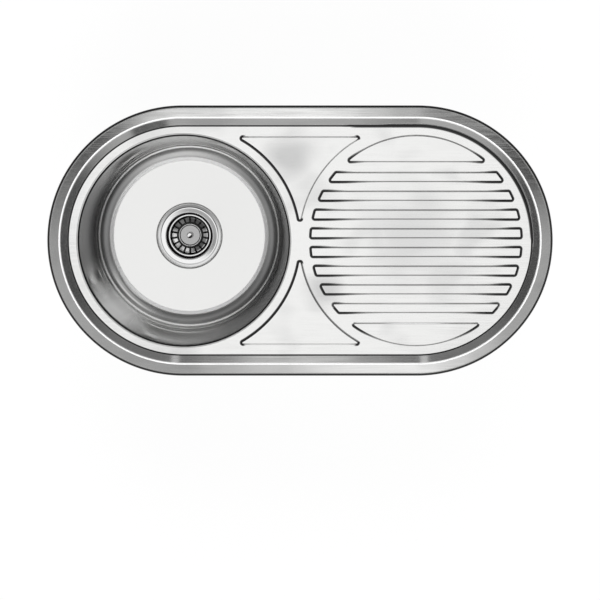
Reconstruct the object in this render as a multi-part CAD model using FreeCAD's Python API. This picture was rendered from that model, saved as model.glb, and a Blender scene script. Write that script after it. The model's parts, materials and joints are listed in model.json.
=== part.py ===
import FreeCAD, Part
import math
import os

# Millimetres. The origin is the middle of the sink, on the worktop's surface that the rim rests on.
# +X points to the drainer, +Y to the back and +Z up.

# Whole sink, seen from above: a rectangle with half-round ends
length = 840
width = 450
sheet = 0.8

# Rim, measured from the outer edge inwards and from the worktop up
edge_height = 3.8
edge_bend = 3
band_width = 20
ridge_height = 5
ridge_bend = 1.4
step_width = 14
step_bend = 3
deck_drop = 5
rim_lap = 6

# Foam strip glued under the band
seal_inset = 3.2
seal_width = 8

# The two circles on the deck, the bowl's mouth and the drainer, and the bare deck around them
side_land = 13.85
waist = 32.2
mouth_surplus = 1.15

# Round bowl, welded into the deck along its mouth
mouth_land = 14.2
mouth_bend = 4
mouth_lip = 3.8
bowl_depth = 160
bowl_draft = 4.6
bowl_bend = 30
floor_fall = 3

# Recess and hole for the waste in the bowl's floor
recess_radius = 57.5
recess_depth = 3
recess_slope = 1
recess_bend = 1.2
drain_hole_radius = 45

# Round drainer: raised bars between two raised segments
drainer_land = 17
bar_pitch = 31.2
bar_width = 16.6
segment_depth = 42
segment_gap = 16.4
bar_shift = -3
press_height = 2.4
press_slope = 2.2
press_corner = 3.2

# Two waisted panels between the bowl and the drainer
panel_bowl_land = 15.2
panel_drainer_land = 17.5
panel_edge_land = 17.5
panel_tip = 34
tip_corner_share = 0.45

# Sound-deadening pads glued underneath
pad_thickness = 2
pad_corner = 12
drainer_pad_length = 220
drainer_pad_width = 140
bowl_pad_width = 25
bowl_pad_margin = 4

# Fixing clips, each a hanger, a screw and a claw
clip_end_distance = 70
clip_end_angle = 38
clip_inset = 26
hanger_sheet = 1.5
hanger_width = 16
hanger_foot = 8
hanger_reach = 10.4
hanger_toe = 6.5
hanger_drop = 13.2
hanger_bend = 2
collar_radius = 4.2
collar_height = 2
clip_screw_radius = 2.5
clip_screw_length = 35.5
clip_screw_start = 0.5
clip_screw_chamfer = 0.6
clip_head_radius = 4.5
clip_head_height = 2.6
clip_head_round = 0.9
driver_slot_width = 1.2
driver_slot_depth = 1.3
thread_clearance = 0.05
claw_sheet = 1.5
claw_width = 14
claw_heel = 7
claw_arm = 16
claw_bend = 3
claw_tip_reach = 7.5
claw_tip_rise = 9.5
claw_tooth_depth = 1.8
claw_tooth_count = 3
claw_notch_share = 0.33
claw_clearance = 0.1

# Strainer dish, measured from the recess's surface
flange_radius = 55.5
flange_lip = 0.3
flange_edge = 2.2
flange_edge_bend = 1.2
crown_radius = 49.5
crown_height = 3.9
crown_bend = 9
throat_radius = 40.2
throat_height = 3.2
throat_bend = 2.4
shelf_outer = 38.6
shelf_inner = 35
shelf_depth = 8.3
cup_radius = 34
cup_depth = 33.8
cup_bend = 3
sump_top_radius = 21.5
sump_radius = 20.5
sump_depth = 41
dish_bend = 1.2
sump_hole_radius = 3.4
sump_hole_circle = 13.9
sump_hole_count = 8

# Rubber rings above and below the bowl's floor
flange_seal_inner = 45.6
flange_seal_outer = 52.5
flange_seal_height = 2.9
flange_seal_edge = 2.1
body_seal_inner = 45.6
body_seal_thickness = 2

# Moulded waste body with its outlet
body_wall = 2.8
body_clearance = 2
body_flange_radius = 52
body_flange_thickness = 3.5
body_cup_depth = 50
body_cone_depth = 10
body_corner = 3
outlet_radius = 23.9
outlet_wall = 3.9
outlet_length = 22
outlet_collar_radius = 27.5
outlet_collar_height = 4
boss_wall = 2.2
boss_top_gap = 2.4
boss_length = 16
rib_thickness = 3
rib_count = 3
insert_wall = 2

# Hollow-headed centre screw
centre_screw_radius = 5
centre_screw_bore = 2.8
centre_screw_length = 19
centre_head_radius = 7.5
centre_head_height = 3.2
centre_head_round = 0.8
centre_slot_width = 2
centre_slot_depth = 1.2

# Lift-out basket, measured from the recess's surface
basket_sheet = 0.7
basket_rim_radius = 36.4
basket_rim_width = 2.2
basket_rim_bend = 1
basket_wall_drop = 13.2
basket_wall_lean = 1.6
basket_wall_bend = 4
basket_depth = 22
basket_floor_radius = 21.8
basket_floor_bend = 1.5
basket_slot_count = 18
basket_slot_width = 3.4
basket_slot_inner = 22.4
basket_slot_outer = 32.2
cap_radius = 20
cap_edge_width = 1.6
cap_edge_height = 2.6
cap_edge_round = 0.7
cap_plate = 1
cap_bevel = 1.6

# Guide bush, post, knob, stopper and its nut
bush_wall = 1
bush_flange_radius = 5
bush_flange_height = 0.8
post_radius = 2.5
post_clearance = 0.06
post_engagement = 5
post_tail = 13
post_chamfer = 0.6
knob_radius = 5
knob_neck_radius = 3.5
knob_height = 8
knob_cap_height = 3.4
knob_rise = 7.8
knob_round = 1.5
knob_neck_bend = 1
stopper_radius = 27
stopper_thickness = 3.2
stopper_gap = 0.3
stopper_round = 1
nut_flats = 8
nut_sides = 6
nut_height = 2.5

# Places that follow from the sizes above
end_radius = width / 2
end_centre = length / 2 - end_radius
foot_radius = end_radius - band_width - step_width
deck_top = -deck_drop
deck_under = deck_top - sheet
deck_reach = end_centre + foot_radius
circle_room = (2 * deck_reach - mouth_land - waist - drainer_land) / 4
circle_radius = min(circle_room, foot_radius - side_land)
mouth_radius = circle_radius + mouth_surplus
drainer_radius = circle_radius - mouth_surplus
bowl_x = mouth_land + mouth_radius - deck_reach
drainer_x = deck_reach - drainer_land - drainer_radius
floor_z = deck_top - bowl_depth
recess_top = floor_z - floor_fall
seat_z = recess_top - recess_depth
under_seat_z = seat_z - sheet
up = FreeCAD.Vector(0, 0, 1)
centre = FreeCAD.Vector(0, 0, 0)
tolerance = 0.001


def offset_path(path, distance):
    """Corners (x, z, bend) of a path moved to its left by a distance."""
    moved = []
    for i, (x, z, bend) in enumerate(path):
        before = path[max(i - 1, 0)]
        after = path[min(i + 1, len(path) - 1)]
        arrive = direction(before, path[i]) if i > 0 else direction(path[i], after)
        leave = direction(path[i], after) if i < len(path) - 1 else arrive
        spread = 1 + arrive[0] * leave[0] + arrive[1] * leave[1]
        shift_x = -(arrive[1] + leave[1]) * distance / spread
        shift_z = (arrive[0] + leave[0]) * distance / spread
        turn = arrive[0] * leave[1] - arrive[1] * leave[0]
        if bend:
            bend += -distance if turn > 0 else distance
        moved.append((x + shift_x, z + shift_z, bend))
    return moved


def direction(start, end):
    """Unit direction from one corner to the next."""
    run = math.hypot(end[0] - start[0], end[1] - start[1])
    return (end[0] - start[0]) / run, (end[1] - start[1]) / run


def strip_outline(path, thickness):
    """Closed outline of a bent strip whose left face lies a thickness from its path."""
    return path + offset_path(path, thickness)[::-1]


def outline_face(corners):
    """Face in the XZ plane through (x, z, bend) corners, with an arc at each bend."""
    arcs = []
    for i, (x, z, bend) in enumerate(corners):
        here = FreeCAD.Vector(x, 0, z)
        after = corners[(i + 1) % len(corners)]
        back = (FreeCAD.Vector(corners[i - 1][0], 0, corners[i - 1][1]) - here).normalize()
        ahead = (FreeCAD.Vector(after[0], 0, after[1]) - here).normalize()
        half = back.getAngle(ahead) / 2
        if bend:
            middle = here + (back + ahead).normalize() * (bend / math.sin(half) - bend)
            run = bend / math.tan(half)
            arcs.append((here + back * run, middle, here + ahead * run))
        else:
            arcs.append((here, None, here))
    edges = []
    for i, (start, middle, end) in enumerate(arcs):
        if middle is not None:
            edges.append(Part.Arc(start, middle, end).toShape())
        following = arcs[(i + 1) % len(arcs)][0]
        if end.distanceToPoint(following) > tolerance:
            edges.append(Part.LineSegment(end, following).toShape())
    return Part.Face(Part.Wire(edges))


def turned(corners, x=0, z=0):
    """Solid of revolution about an upright axis, from corners given as (radius, height, bend)."""
    solid = outline_face(corners).revolve(centre, up, 360)
    return solid.translated(FreeCAD.Vector(x, 0, z))


def upright_edges(solid):
    """Straight edges that stand upright."""
    return [edge for edge in solid.Edges if edge.tangentAt(edge.FirstParameter).cross(up).Length < tolerance]


def base_outline(solid):
    """Outer wire of a plate's lowest face."""
    return min(solid.Faces, key=lambda face: face.CenterOfMass.z).OuterWire


def round_corners(plate, corner, line):
    """Plate with the upright edges rounded that stand on a line of constant Y."""
    on_line = [edge for edge in upright_edges(plate) if abs(edge.CenterOfMass.y - line) < tolerance]
    return plate.makeFillet(corner, on_line)


def stadium_plate(radius, bottom, top):
    """Plate with straight sides and half-round ends about the sink's two end centres."""
    a = FreeCAD.Vector(-end_centre, radius, bottom)
    b = FreeCAD.Vector(end_centre, radius, bottom)
    c = FreeCAD.Vector(end_centre + radius, 0, bottom)
    d = FreeCAD.Vector(end_centre, -radius, bottom)
    e = FreeCAD.Vector(-end_centre, -radius, bottom)
    f = FreeCAD.Vector(-end_centre - radius, 0, bottom)
    edges = [Part.LineSegment(a, b).toShape(), Part.Arc(b, c, d).toShape()]
    edges += [Part.LineSegment(d, e).toShape(), Part.Arc(e, f, a).toShape()]
    return Part.Face(Part.Wire(edges)).extrude(up * (top - bottom))


def rim_ring(corners):
    """Ring of one section, (distance from the centre line, height, bend), all round the sink."""
    section = outline_face(corners)
    section.rotate(centre, up, -90)
    section.translate(FreeCAD.Vector(end_centre, 0, 0))
    end = section.revolve(FreeCAD.Vector(end_centre, 0, 0), up, 180)
    side = section.extrude(FreeCAD.Vector(-2 * end_centre, 0, 0))
    half = end.fuse(side)
    other = half.copy()
    other.rotate(centre, up, 180)
    return half.fuse(other).removeSplitter()


def rim_path():
    """Top face of the rim from the edge on the worktop to the deck."""
    ridge = end_radius - band_width
    return [
        (end_radius, 0, 0),
        (end_radius, edge_height, edge_bend),
        (ridge, ridge_height, ridge_bend),
        (foot_radius, deck_top, step_bend),
        (foot_radius - rim_lap, deck_top, 0),
    ]


def drainer_slice(low, high, inset):
    """Outline of a slice of the drainer's circle between two lines across it."""
    radius = drainer_radius - inset
    disc = Part.makeCylinder(radius, sheet)
    span = high - low - 2 * inset
    slab = Part.makeBox(2 * drainer_radius, span, sheet, FreeCAD.Vector(-drainer_radius, low + inset, 0))
    piece = disc.common(slab)
    piece = piece.makeFillet(press_corner - inset, upright_edges(piece))
    return base_outline(piece).translated(FreeCAD.Vector(drainer_x, 0, 0))


def waisted_outline(side, inset):
    """Outline of the panel behind (side 1) or in front of (side -1) the waist."""
    bowl_arc = mouth_radius + panel_bowl_land + inset
    drainer_arc = drainer_radius + panel_drainer_land + inset
    tip = panel_tip + inset
    edge = foot_radius - panel_edge_land - inset
    slab = Part.makeBox(2 * end_centre, edge - tip, sheet, FreeCAD.Vector(-end_centre, tip, 0))
    slab = slab.cut(Part.makeCylinder(bowl_arc, sheet, FreeCAD.Vector(bowl_x, 0, 0)))
    slab = slab.cut(Part.makeCylinder(drainer_arc, sheet, FreeCAD.Vector(drainer_x, 0, 0)))
    left = bowl_x + math.sqrt(bowl_arc**2 - tip**2)
    right = drainer_x - math.sqrt(drainer_arc**2 - tip**2)
    panel = min(slab.Solids, key=lambda solid: abs(solid.CenterOfMass.x))
    panel = round_corners(panel, min(press_corner, tip_corner_share * (right - left)), tip)
    outline = base_outline(round_corners(panel, press_corner - inset, edge))
    if side < 0:
        outline = outline.mirror(centre, FreeCAD.Vector(0, 1, 0))
    return outline


def raised(outline):
    """Solid plateau on the deck, from a function that gives its outline at an inset."""
    foot = outline(0).translated(up * deck_top)
    crest = outline(press_slope).translated(up * (deck_top + press_height))
    return Part.makeLoft([foot, crest], True, True)


def drainer_plateaus():
    """The bars and the two end segments that stand up inside the drainer's circle."""
    count = int(2 * (drainer_radius - segment_depth) / bar_pitch)
    plateaus = []
    for i in range(count):
        middle = bar_shift + (i - (count - 1) / 2) * bar_pitch
        low = middle - bar_width / 2
        plateaus.append(raised(lambda inset: drainer_slice(low, low + bar_width, inset)))
    flat = (count - 1) / 2 * bar_pitch + bar_width / 2 + segment_gap
    beyond = drainer_radius + segment_depth
    plateaus.append(raised(lambda inset: drainer_slice(bar_shift + flat, beyond, inset)))
    plateaus.append(raised(lambda inset: drainer_slice(-beyond, bar_shift - flat, inset)))
    return plateaus


def make_top_deck():
    """Pressed sheet with rim, step, raised panels and bars, open at the bowl's mouth."""
    deck = rim_ring(strip_outline(rim_path(), sheet))
    plate = stadium_plate(foot_radius - rim_lap, deck_under, deck_top)
    plateaus = drainer_plateaus()
    plateaus.append(raised(lambda inset: waisted_outline(1, inset)))
    plateaus.append(raised(lambda inset: waisted_outline(-1, inset)))
    hollows = [plateau.translated(up * -sheet) for plateau in plateaus]
    mouth = Part.makeCylinder(mouth_radius, 2 * sheet, FreeCAD.Vector(bowl_x, 0, deck_under - sheet / 2))
    plate = plate.cut(mouth).fuse(plateaus).cut(hollows)
    return deck.fuse(plate).removeSplitter()


def make_rim_seal():
    """Foam strip between the band and the worktop, flush with the edge when pressed down."""
    path = offset_path(rim_path()[1:3], sheet)
    (outer_x, outer_z, _), (inner_x, inner_z, _) = path
    slope = (inner_z - outer_z) / (inner_x - outer_x)
    far = end_radius - seal_inset
    near = far - seal_width
    far_top = outer_z + slope * (far - outer_x)
    near_top = outer_z + slope * (near - outer_x)
    return rim_ring([(far, 0, 0), (far, far_top, 0), (near, near_top, 0), (near, 0, 0)])


def bowl_path():
    """Inner face of the bowl from its mouth to the drain hole."""
    lip = mouth_radius - mouth_lip
    heel = lip - bowl_depth * math.tan(math.radians(bowl_draft))
    return [
        (mouth_radius, deck_top, 0),
        (lip, deck_top, mouth_bend),
        (heel, floor_z, bowl_bend),
        (recess_radius, recess_top, recess_bend),
        (recess_radius - recess_slope, seat_z, recess_bend),
        (drain_hole_radius, seat_z, 0),
    ]


def make_bowl():
    """Deep-drawn bowl with a floor that falls to the waste."""
    return turned(strip_outline(bowl_path(), sheet), bowl_x)


def make_bowl_pad():
    """Ring pad glued under the bowl's floor."""
    heel, recess = bowl_path()[2:4]
    slope = (recess[1] - heel[1]) / (recess[0] - heel[0])
    rounding = bowl_bend + bowl_pad_margin
    reach = rounding + bowl_pad_width
    outer = (heel[0] - rounding, heel[1] - slope * rounding, 0)
    inner = (heel[0] - reach, heel[1] - slope * reach, 0)
    face = offset_path([outer, inner], sheet)
    return turned(strip_outline(face, pad_thickness), bowl_x)


def make_drainer_pad():
    """Flat pad with rounded corners glued under the drainer."""
    corner = FreeCAD.Vector(drainer_x - drainer_pad_length / 2, -drainer_pad_width / 2, deck_under - pad_thickness)
    pad = Part.makeBox(drainer_pad_length, drainer_pad_width, pad_thickness, corner)
    return pad.makeFillet(pad_corner, upright_edges(pad))


def clip_places():
    """Place of each clip's screw axis and the angle that its rim edge faces."""
    reach = end_radius - clip_inset
    places = []
    for side in (1, -1):
        for x in (end_centre - clip_end_distance, clip_end_distance - end_centre):
            places.append((x, side * reach, side * 90))
        for angle in (side * clip_end_angle, side * (180 - clip_end_angle)):
            x = math.copysign(end_centre, 90 - abs(angle)) + reach * math.cos(math.radians(angle))
            places.append((x, reach * math.sin(math.radians(angle)), angle))
    return places


def placed(shape, place, extra_turn=0):
    """Copy of a clip piece at its place, with its own +X facing the rim's edge."""
    x, y, angle = place
    copy = shape.copy()
    copy.rotate(centre, up, angle + extra_turn)
    return copy.translated(FreeCAD.Vector(x, y, 0))


def bent_strip(path, thickness, strip_width):
    """Strip of sheet metal bent along a path in the XZ plane, thick to the right of the path."""
    face = outline_face(strip_outline(path, -thickness))
    solid = face.extrude(FreeCAD.Vector(0, strip_width, 0))
    return solid.translated(FreeCAD.Vector(0, -strip_width / 2, 0))


def make_hanger():
    """Welded foot, upright leg and a toe with a threaded collar."""
    toe_z = deck_under - hanger_drop
    path = [
        (-hanger_reach - hanger_foot, deck_under, 0),
        (-hanger_reach, deck_under, hanger_bend),
        (-hanger_reach, toe_z, hanger_bend),
        (hanger_toe, toe_z, 0),
    ]
    bore = clip_screw_radius + thread_clearance
    bottom = FreeCAD.Vector(0, 0, toe_z - hanger_sheet)
    depth = hanger_sheet + collar_height
    collar = Part.makeCylinder(collar_radius, depth, bottom)
    hole = Part.makeCylinder(bore, depth, bottom)
    return bent_strip(path, hanger_sheet, hanger_width).fuse(collar).cut(hole).removeSplitter()


def clip_screw_top():
    """Height of the screw's end when it has just been started in the collar."""
    return deck_under - hanger_drop + clip_screw_start


def make_clip_screw():
    """Pan-headed screw, head down, with a driver slot."""
    top = clip_screw_top()
    head_top = top - clip_screw_length
    head_bottom = head_top - clip_head_height
    corners = [
        (0, top, 0),
        (clip_screw_radius - clip_screw_chamfer, top, 0),
        (clip_screw_radius, top - clip_screw_chamfer, 0),
        (clip_screw_radius, head_top, 0),
        (clip_head_radius, head_top, 0),
        (clip_head_radius, head_bottom, clip_head_round),
        (0, head_bottom, 0),
    ]
    corner = FreeCAD.Vector(-clip_head_radius, -driver_slot_width / 2, head_bottom)
    slot = Part.makeBox(2 * clip_head_radius, driver_slot_width, driver_slot_depth, corner)
    return turned(corners).cut(slot)


def make_claw():
    """Pressed claw that lies on the screw's head, with a toothed tip bent up at its end."""
    top = clip_screw_top() - clip_screw_length + claw_sheet
    path = [
        (-claw_heel, top, 0),
        (claw_arm, top, claw_bend),
        (claw_arm + claw_tip_reach, top + claw_tip_rise, 0),
    ]
    claw = bent_strip(path, claw_sheet, claw_width)
    bore = clip_screw_radius + claw_clearance
    claw = claw.cut(Part.makeCylinder(bore, claw_sheet, FreeCAD.Vector(0, 0, top - claw_sheet)))
    pitch = claw_width / claw_tooth_count
    tip_z = top + claw_tip_rise + claw_sheet
    reach = claw_arm + claw_tip_reach + claw_sheet
    for i in range(claw_tooth_count - 1):
        middle = (i + 1) * pitch - claw_width / 2
        low = FreeCAD.Vector(claw_arm, middle, tip_z - claw_sheet - claw_tooth_depth)
        left = FreeCAD.Vector(claw_arm, middle - claw_notch_share * pitch, tip_z)
        right = FreeCAD.Vector(claw_arm, middle + claw_notch_share * pitch, tip_z)
        notch = Part.Face(Part.makePolygon([low, left, right, low]))
        claw = claw.cut(notch.extrude(FreeCAD.Vector(reach - claw_arm, 0, 0)))
    return claw


def dish_path():
    """Upper face of the strainer dish from the flange's lip to the centre screw's hole."""
    return [
        (flange_radius, flange_lip, 0),
        (flange_radius, flange_edge, flange_edge_bend),
        (crown_radius, crown_height, crown_bend),
        (throat_radius, throat_height, throat_bend),
        (shelf_outer, -shelf_depth, dish_bend),
        (shelf_inner, -shelf_depth, dish_bend),
        (cup_radius, -cup_depth, cup_bend),
        (sump_top_radius, -cup_depth, dish_bend),
        (sump_radius, -sump_depth, dish_bend),
        (centre_screw_radius, -sump_depth, 0),
    ]


def make_strainer_dish():
    """Polished flange, shelf for the basket, seat for the stopper and a pierced sump."""
    dish = turned(strip_outline(dish_path(), sheet), bowl_x, seat_z)
    for i in range(sump_hole_count):
        angle = math.radians(360 * i / sump_hole_count)
        x = bowl_x + sump_hole_circle * math.cos(angle)
        place = FreeCAD.Vector(x, sump_hole_circle * math.sin(angle), seat_z - sump_depth - 2 * sheet)
        dish = dish.cut(Part.makeCylinder(sump_hole_radius, 3 * sheet, place))
    return dish


def make_flange_seal():
    """Rubber ring between the flange and the bowl's recess."""
    corners = [
        (flange_seal_inner, 0, 0),
        (flange_seal_outer, 0, 0),
        (flange_seal_outer, flange_seal_edge, 0),
        (crown_radius, flange_seal_height, 0),
        (flange_seal_inner, flange_seal_edge, 0),
    ]
    return turned(corners, bowl_x, seat_z)


def make_body_seal():
    """Flat rubber ring between the bowl's underside and the waste body."""
    corners = [
        (body_seal_inner, 0, 0),
        (body_flange_radius, 0, 0),
        (body_flange_radius, -body_seal_thickness, 0),
        (body_seal_inner, -body_seal_thickness, 0),
    ]
    return turned(corners, bowl_x, under_seat_z)


def body_levels():
    """Heights of the waste body's parts, from its top down, measured from the recess's surface."""
    top = -sheet - body_seal_thickness
    cone_top = top - body_cup_depth
    cone_bottom = cone_top - body_cone_depth
    return top, cone_top, cone_bottom, cone_bottom - outlet_length


def make_waste_body():
    """Moulded cup with a clamping flange, a spider that holds the insert and the outlet."""
    top, cone_top, cone_bottom, outlet_end = body_levels()
    bore = outlet_radius - outlet_wall
    inner = throat_radius + sheet + body_clearance
    outer = inner + body_wall
    flange_under = top - body_flange_thickness
    collar_bottom = cone_bottom - outlet_collar_height
    corners = [
        (inner, top, 0),
        (body_flange_radius, top, 0),
        (body_flange_radius, flange_under, 0),
        (outer, flange_under, 0),
        (outer, cone_top - body_wall, body_corner),
        (outlet_collar_radius, cone_bottom, 0),
        (outlet_collar_radius, collar_bottom, 0),
        (outlet_radius, collar_bottom, 0),
        (outlet_radius, outlet_end, 0),
        (bore, outlet_end, 0),
        (bore, cone_bottom, 0),
        (inner, cone_top, body_corner),
    ]
    cavity = turned([(0, top, 0), (inner, top, 0), (inner, cone_top, body_corner), (bore, cone_bottom, 0),
                     (bore, outlet_end, 0), (0, outlet_end, 0)])
    boss_top = -sump_depth - sheet - boss_top_gap
    hole = centre_screw_radius + insert_wall
    boss_base = FreeCAD.Vector(0, 0, boss_top - boss_length)
    spider = Part.makeCylinder(hole + boss_wall, boss_length, boss_base)
    for i in range(rib_count):
        rib = Part.makeBox(outer, rib_thickness, boss_length, boss_base - FreeCAD.Vector(0, rib_thickness / 2, 0))
        rib.rotate(centre, up, 360 * i / rib_count)
        spider = spider.fuse(rib.common(cavity))
    spider = spider.cut(Part.makeCylinder(hole, boss_length, boss_base))
    body = turned(corners).fuse(spider)
    return body.translated(FreeCAD.Vector(bowl_x, 0, seat_z))


def make_screw_insert():
    """Threaded brass bush moulded into the spider's boss."""
    top = -sump_depth - sheet - boss_top_gap
    hole = centre_screw_radius
    corners = [
        (hole, top, 0),
        (hole + insert_wall, top, 0),
        (hole + insert_wall, top - boss_length, 0),
        (hole, top - boss_length, 0),
    ]
    return turned(corners, bowl_x, seat_z)


def make_centre_screw():
    """Hollow screw whose slotted head lies in the sump and guides the post."""
    base = -sump_depth
    head_top = base + centre_head_height
    corners = [
        (centre_screw_bore, head_top, 0),
        (centre_head_radius, head_top, centre_head_round),
        (centre_head_radius, base, 0),
        (centre_screw_radius, base, 0),
        (centre_screw_radius, base - centre_screw_length, 0),
        (centre_screw_bore, base - centre_screw_length, 0),
    ]
    corner = FreeCAD.Vector(-centre_head_radius, -centre_slot_width / 2, head_top - centre_slot_depth)
    slot = Part.makeBox(2 * centre_head_radius, centre_slot_width, 2 * centre_slot_depth, corner)
    return turned(corners).cut(slot).translated(FreeCAD.Vector(bowl_x, 0, seat_z))


def make_basket():
    """Pressed basket whose rim lies on the dish's shelf, with radial slots in its sloping floor."""
    rim_top = -shelf_depth + basket_sheet
    wall = basket_rim_radius - basket_rim_width
    path = [
        (basket_rim_radius, rim_top, 0),
        (wall, rim_top, basket_rim_bend),
        (wall - basket_wall_lean, rim_top - basket_wall_drop, basket_wall_bend),
        (basket_floor_radius, -basket_depth, basket_floor_bend),
        (post_radius + post_clearance + bush_wall, -basket_depth, 0),
    ]
    basket = turned(strip_outline(path, basket_sheet))
    span = basket_slot_outer - basket_slot_inner
    corner = FreeCAD.Vector(basket_slot_inner, -basket_slot_width / 2, -basket_depth - basket_sheet)
    slots = []
    for i in range(basket_slot_count):
        slot = Part.makeBox(span, basket_slot_width, basket_depth, corner)
        slot.rotate(centre, up, 360 * (i + 0.5) / basket_slot_count)
        slots.append(slot)
    return basket.cut(slots).translated(FreeCAD.Vector(bowl_x, 0, seat_z))


def make_basket_cap():
    """Round plate with a raised edge, welded into the middle of the basket."""
    base = -basket_depth
    hole = post_radius + post_clearance + bush_wall
    inside = cap_radius - cap_edge_width
    corners = [
        (hole, base, 0),
        (cap_radius, base, 0),
        (cap_radius, base + cap_edge_height, cap_edge_round),
        (inside, base + cap_edge_height, cap_edge_round),
        (inside - cap_bevel, base + cap_plate, 0),
        (hole, base + cap_plate, 0),
    ]
    return turned(corners, bowl_x, seat_z)


def make_post_bush():
    """Plastic bush through cap and basket that grips the post."""
    bore = post_radius + post_clearance
    base = -basket_depth - basket_sheet
    seat = -basket_depth + cap_plate
    corners = [
        (bore, base, 0),
        (bore + bush_wall, base, 0),
        (bore + bush_wall, seat, 0),
        (bush_flange_radius, seat, 0),
        (bush_flange_radius, seat + bush_flange_height, 0),
        (bore, seat + bush_flange_height, 0),
    ]
    return turned(corners, bowl_x, seat_z)


def plunger_levels():
    """Heights of the knob's base, the stopper's top and bottom and the post's end."""
    knob_base = -basket_depth + cap_plate + bush_flange_height + knob_rise
    stopper_top = -basket_depth - basket_sheet - stopper_gap
    stopper_bottom = stopper_top - stopper_thickness
    return knob_base, stopper_top, stopper_bottom, stopper_bottom - nut_height - post_tail


def make_knob():
    """Small mushroom knob, bored for the post."""
    base = plunger_levels()[0]
    top = base + knob_height
    corners = [
        (post_radius, base, 0),
        (knob_neck_radius, base, 0),
        (knob_neck_radius, top - knob_cap_height, knob_neck_bend),
        (knob_radius, top - knob_cap_height, 0),
        (knob_radius, top, knob_round),
        (0, top, 0),
        (0, base + post_engagement, 0),
        (post_radius, base + post_engagement, 0),
    ]
    return turned(corners, bowl_x, seat_z)


def make_post():
    """Post from inside the knob down through the stopper into the hollow screw."""
    knob_base, _, _, end = plunger_levels()
    corners = [
        (0, knob_base + post_engagement, 0),
        (post_radius, knob_base + post_engagement, 0),
        (post_radius, end + post_chamfer, 0),
        (post_radius - post_chamfer, end, 0),
        (0, end, 0),
    ]
    return turned(corners, bowl_x, seat_z)


def make_stopper():
    """Rubber disc that closes the seat round the sump when the knob is pressed down."""
    _, top, bottom, _ = plunger_levels()
    corners = [
        (post_radius, top, 0),
        (stopper_radius, top, stopper_round),
        (stopper_radius, bottom, stopper_round),
        (post_radius, bottom, 0),
    ]
    return turned(corners, bowl_x, seat_z)


def make_stopper_nut():
    """Hexagon nut that holds the stopper on the post."""
    top = plunger_levels()[2]
    radius = nut_flats / 2 / math.cos(math.pi / nut_sides)
    points = []
    for i in range(nut_sides + 1):
        angle = math.radians(360 * i / nut_sides)
        points.append(FreeCAD.Vector(radius * math.cos(angle), radius * math.sin(angle), top - nut_height))
    nut = Part.Face(Part.makePolygon(points)).extrude(up * nut_height)
    nut = nut.cut(Part.makeCylinder(post_radius, nut_height, FreeCAD.Vector(0, 0, top - nut_height)))
    return nut.translated(FreeCAD.Vector(bowl_x, 0, seat_z))


def all_pieces():
    """Every piece of the sink by its node name."""
    pieces = {
        "top_deck": make_top_deck(),
        "bowl": make_bowl(),
        "rim_seal": make_rim_seal(),
        "drainer_pad": make_drainer_pad(),
        "bowl_pad": make_bowl_pad(),
        "strainer_dish": make_strainer_dish(),
        "flange_seal": make_flange_seal(),
        "body_seal": make_body_seal(),
        "waste_body": make_waste_body(),
        "screw_insert": make_screw_insert(),
        "centre_screw": make_centre_screw(),
        "basket": make_basket(),
        "basket_cap": make_basket_cap(),
        "post_bush": make_post_bush(),
        "knob": make_knob(),
        "post": make_post(),
        "stopper": make_stopper(),
        "stopper_nut": make_stopper_nut(),
    }
    hanger = make_hanger()
    screw = make_clip_screw()
    claw = make_claw()
    places = clip_places()
    pieces["clip_brackets"] = Part.makeCompound([placed(hanger, place) for place in places])
    for number, place in enumerate(places, 1):
        pieces[f"clip_screw_{number}"] = placed(screw, place)
        pieces[f"clip_claw_{number}"] = placed(claw, place, 90)
    return pieces


os.makedirs("parts", exist_ok=True)
for name, shape in all_pieces().items():
    shape.exportStep(f"parts/{name}.step")
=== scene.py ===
import json
import math

import bmesh
import bpy
from bpy.props import FloatProperty, FloatVectorProperty, IntProperty, PointerProperty
from mathutils import Matrix, Vector
from mathutils.geometry import delaunay_2d_cdt


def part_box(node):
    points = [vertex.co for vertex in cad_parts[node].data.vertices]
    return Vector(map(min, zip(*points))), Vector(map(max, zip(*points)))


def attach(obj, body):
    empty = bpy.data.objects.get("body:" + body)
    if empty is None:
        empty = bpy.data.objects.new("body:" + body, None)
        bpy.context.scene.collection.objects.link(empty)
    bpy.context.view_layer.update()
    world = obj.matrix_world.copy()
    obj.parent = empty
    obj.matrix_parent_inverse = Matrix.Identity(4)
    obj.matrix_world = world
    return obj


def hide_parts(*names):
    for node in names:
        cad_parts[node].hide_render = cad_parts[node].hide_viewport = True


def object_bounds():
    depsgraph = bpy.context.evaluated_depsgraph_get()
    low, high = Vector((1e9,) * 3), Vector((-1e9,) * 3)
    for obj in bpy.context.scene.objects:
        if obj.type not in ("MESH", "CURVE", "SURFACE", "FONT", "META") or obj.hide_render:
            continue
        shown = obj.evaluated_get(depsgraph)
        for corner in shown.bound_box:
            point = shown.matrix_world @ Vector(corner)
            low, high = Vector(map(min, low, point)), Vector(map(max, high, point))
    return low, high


bl_info = {
    "name": "Inset sink with round bowl and drainer",
    "version": (1, 0, 0),
    "blender": (4, 5, 0),
    "location": "3D View > Sidebar > Sink",
    "description": "Finishes a packed inset sink: pressed steel, waste, seals, pads, clips and a studio",
    "category": "Object",
}

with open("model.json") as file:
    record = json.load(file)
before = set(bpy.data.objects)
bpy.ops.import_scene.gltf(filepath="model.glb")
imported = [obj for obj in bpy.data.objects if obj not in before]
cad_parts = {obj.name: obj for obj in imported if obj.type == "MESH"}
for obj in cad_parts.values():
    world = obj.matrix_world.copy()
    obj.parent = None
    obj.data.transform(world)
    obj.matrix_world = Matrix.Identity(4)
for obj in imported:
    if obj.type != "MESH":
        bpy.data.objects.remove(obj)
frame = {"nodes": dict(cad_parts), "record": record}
cad_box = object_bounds()

# The script's own unit is the millimetre, turned to metres where a mesh or a node needs them
MM = 0.001

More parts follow.
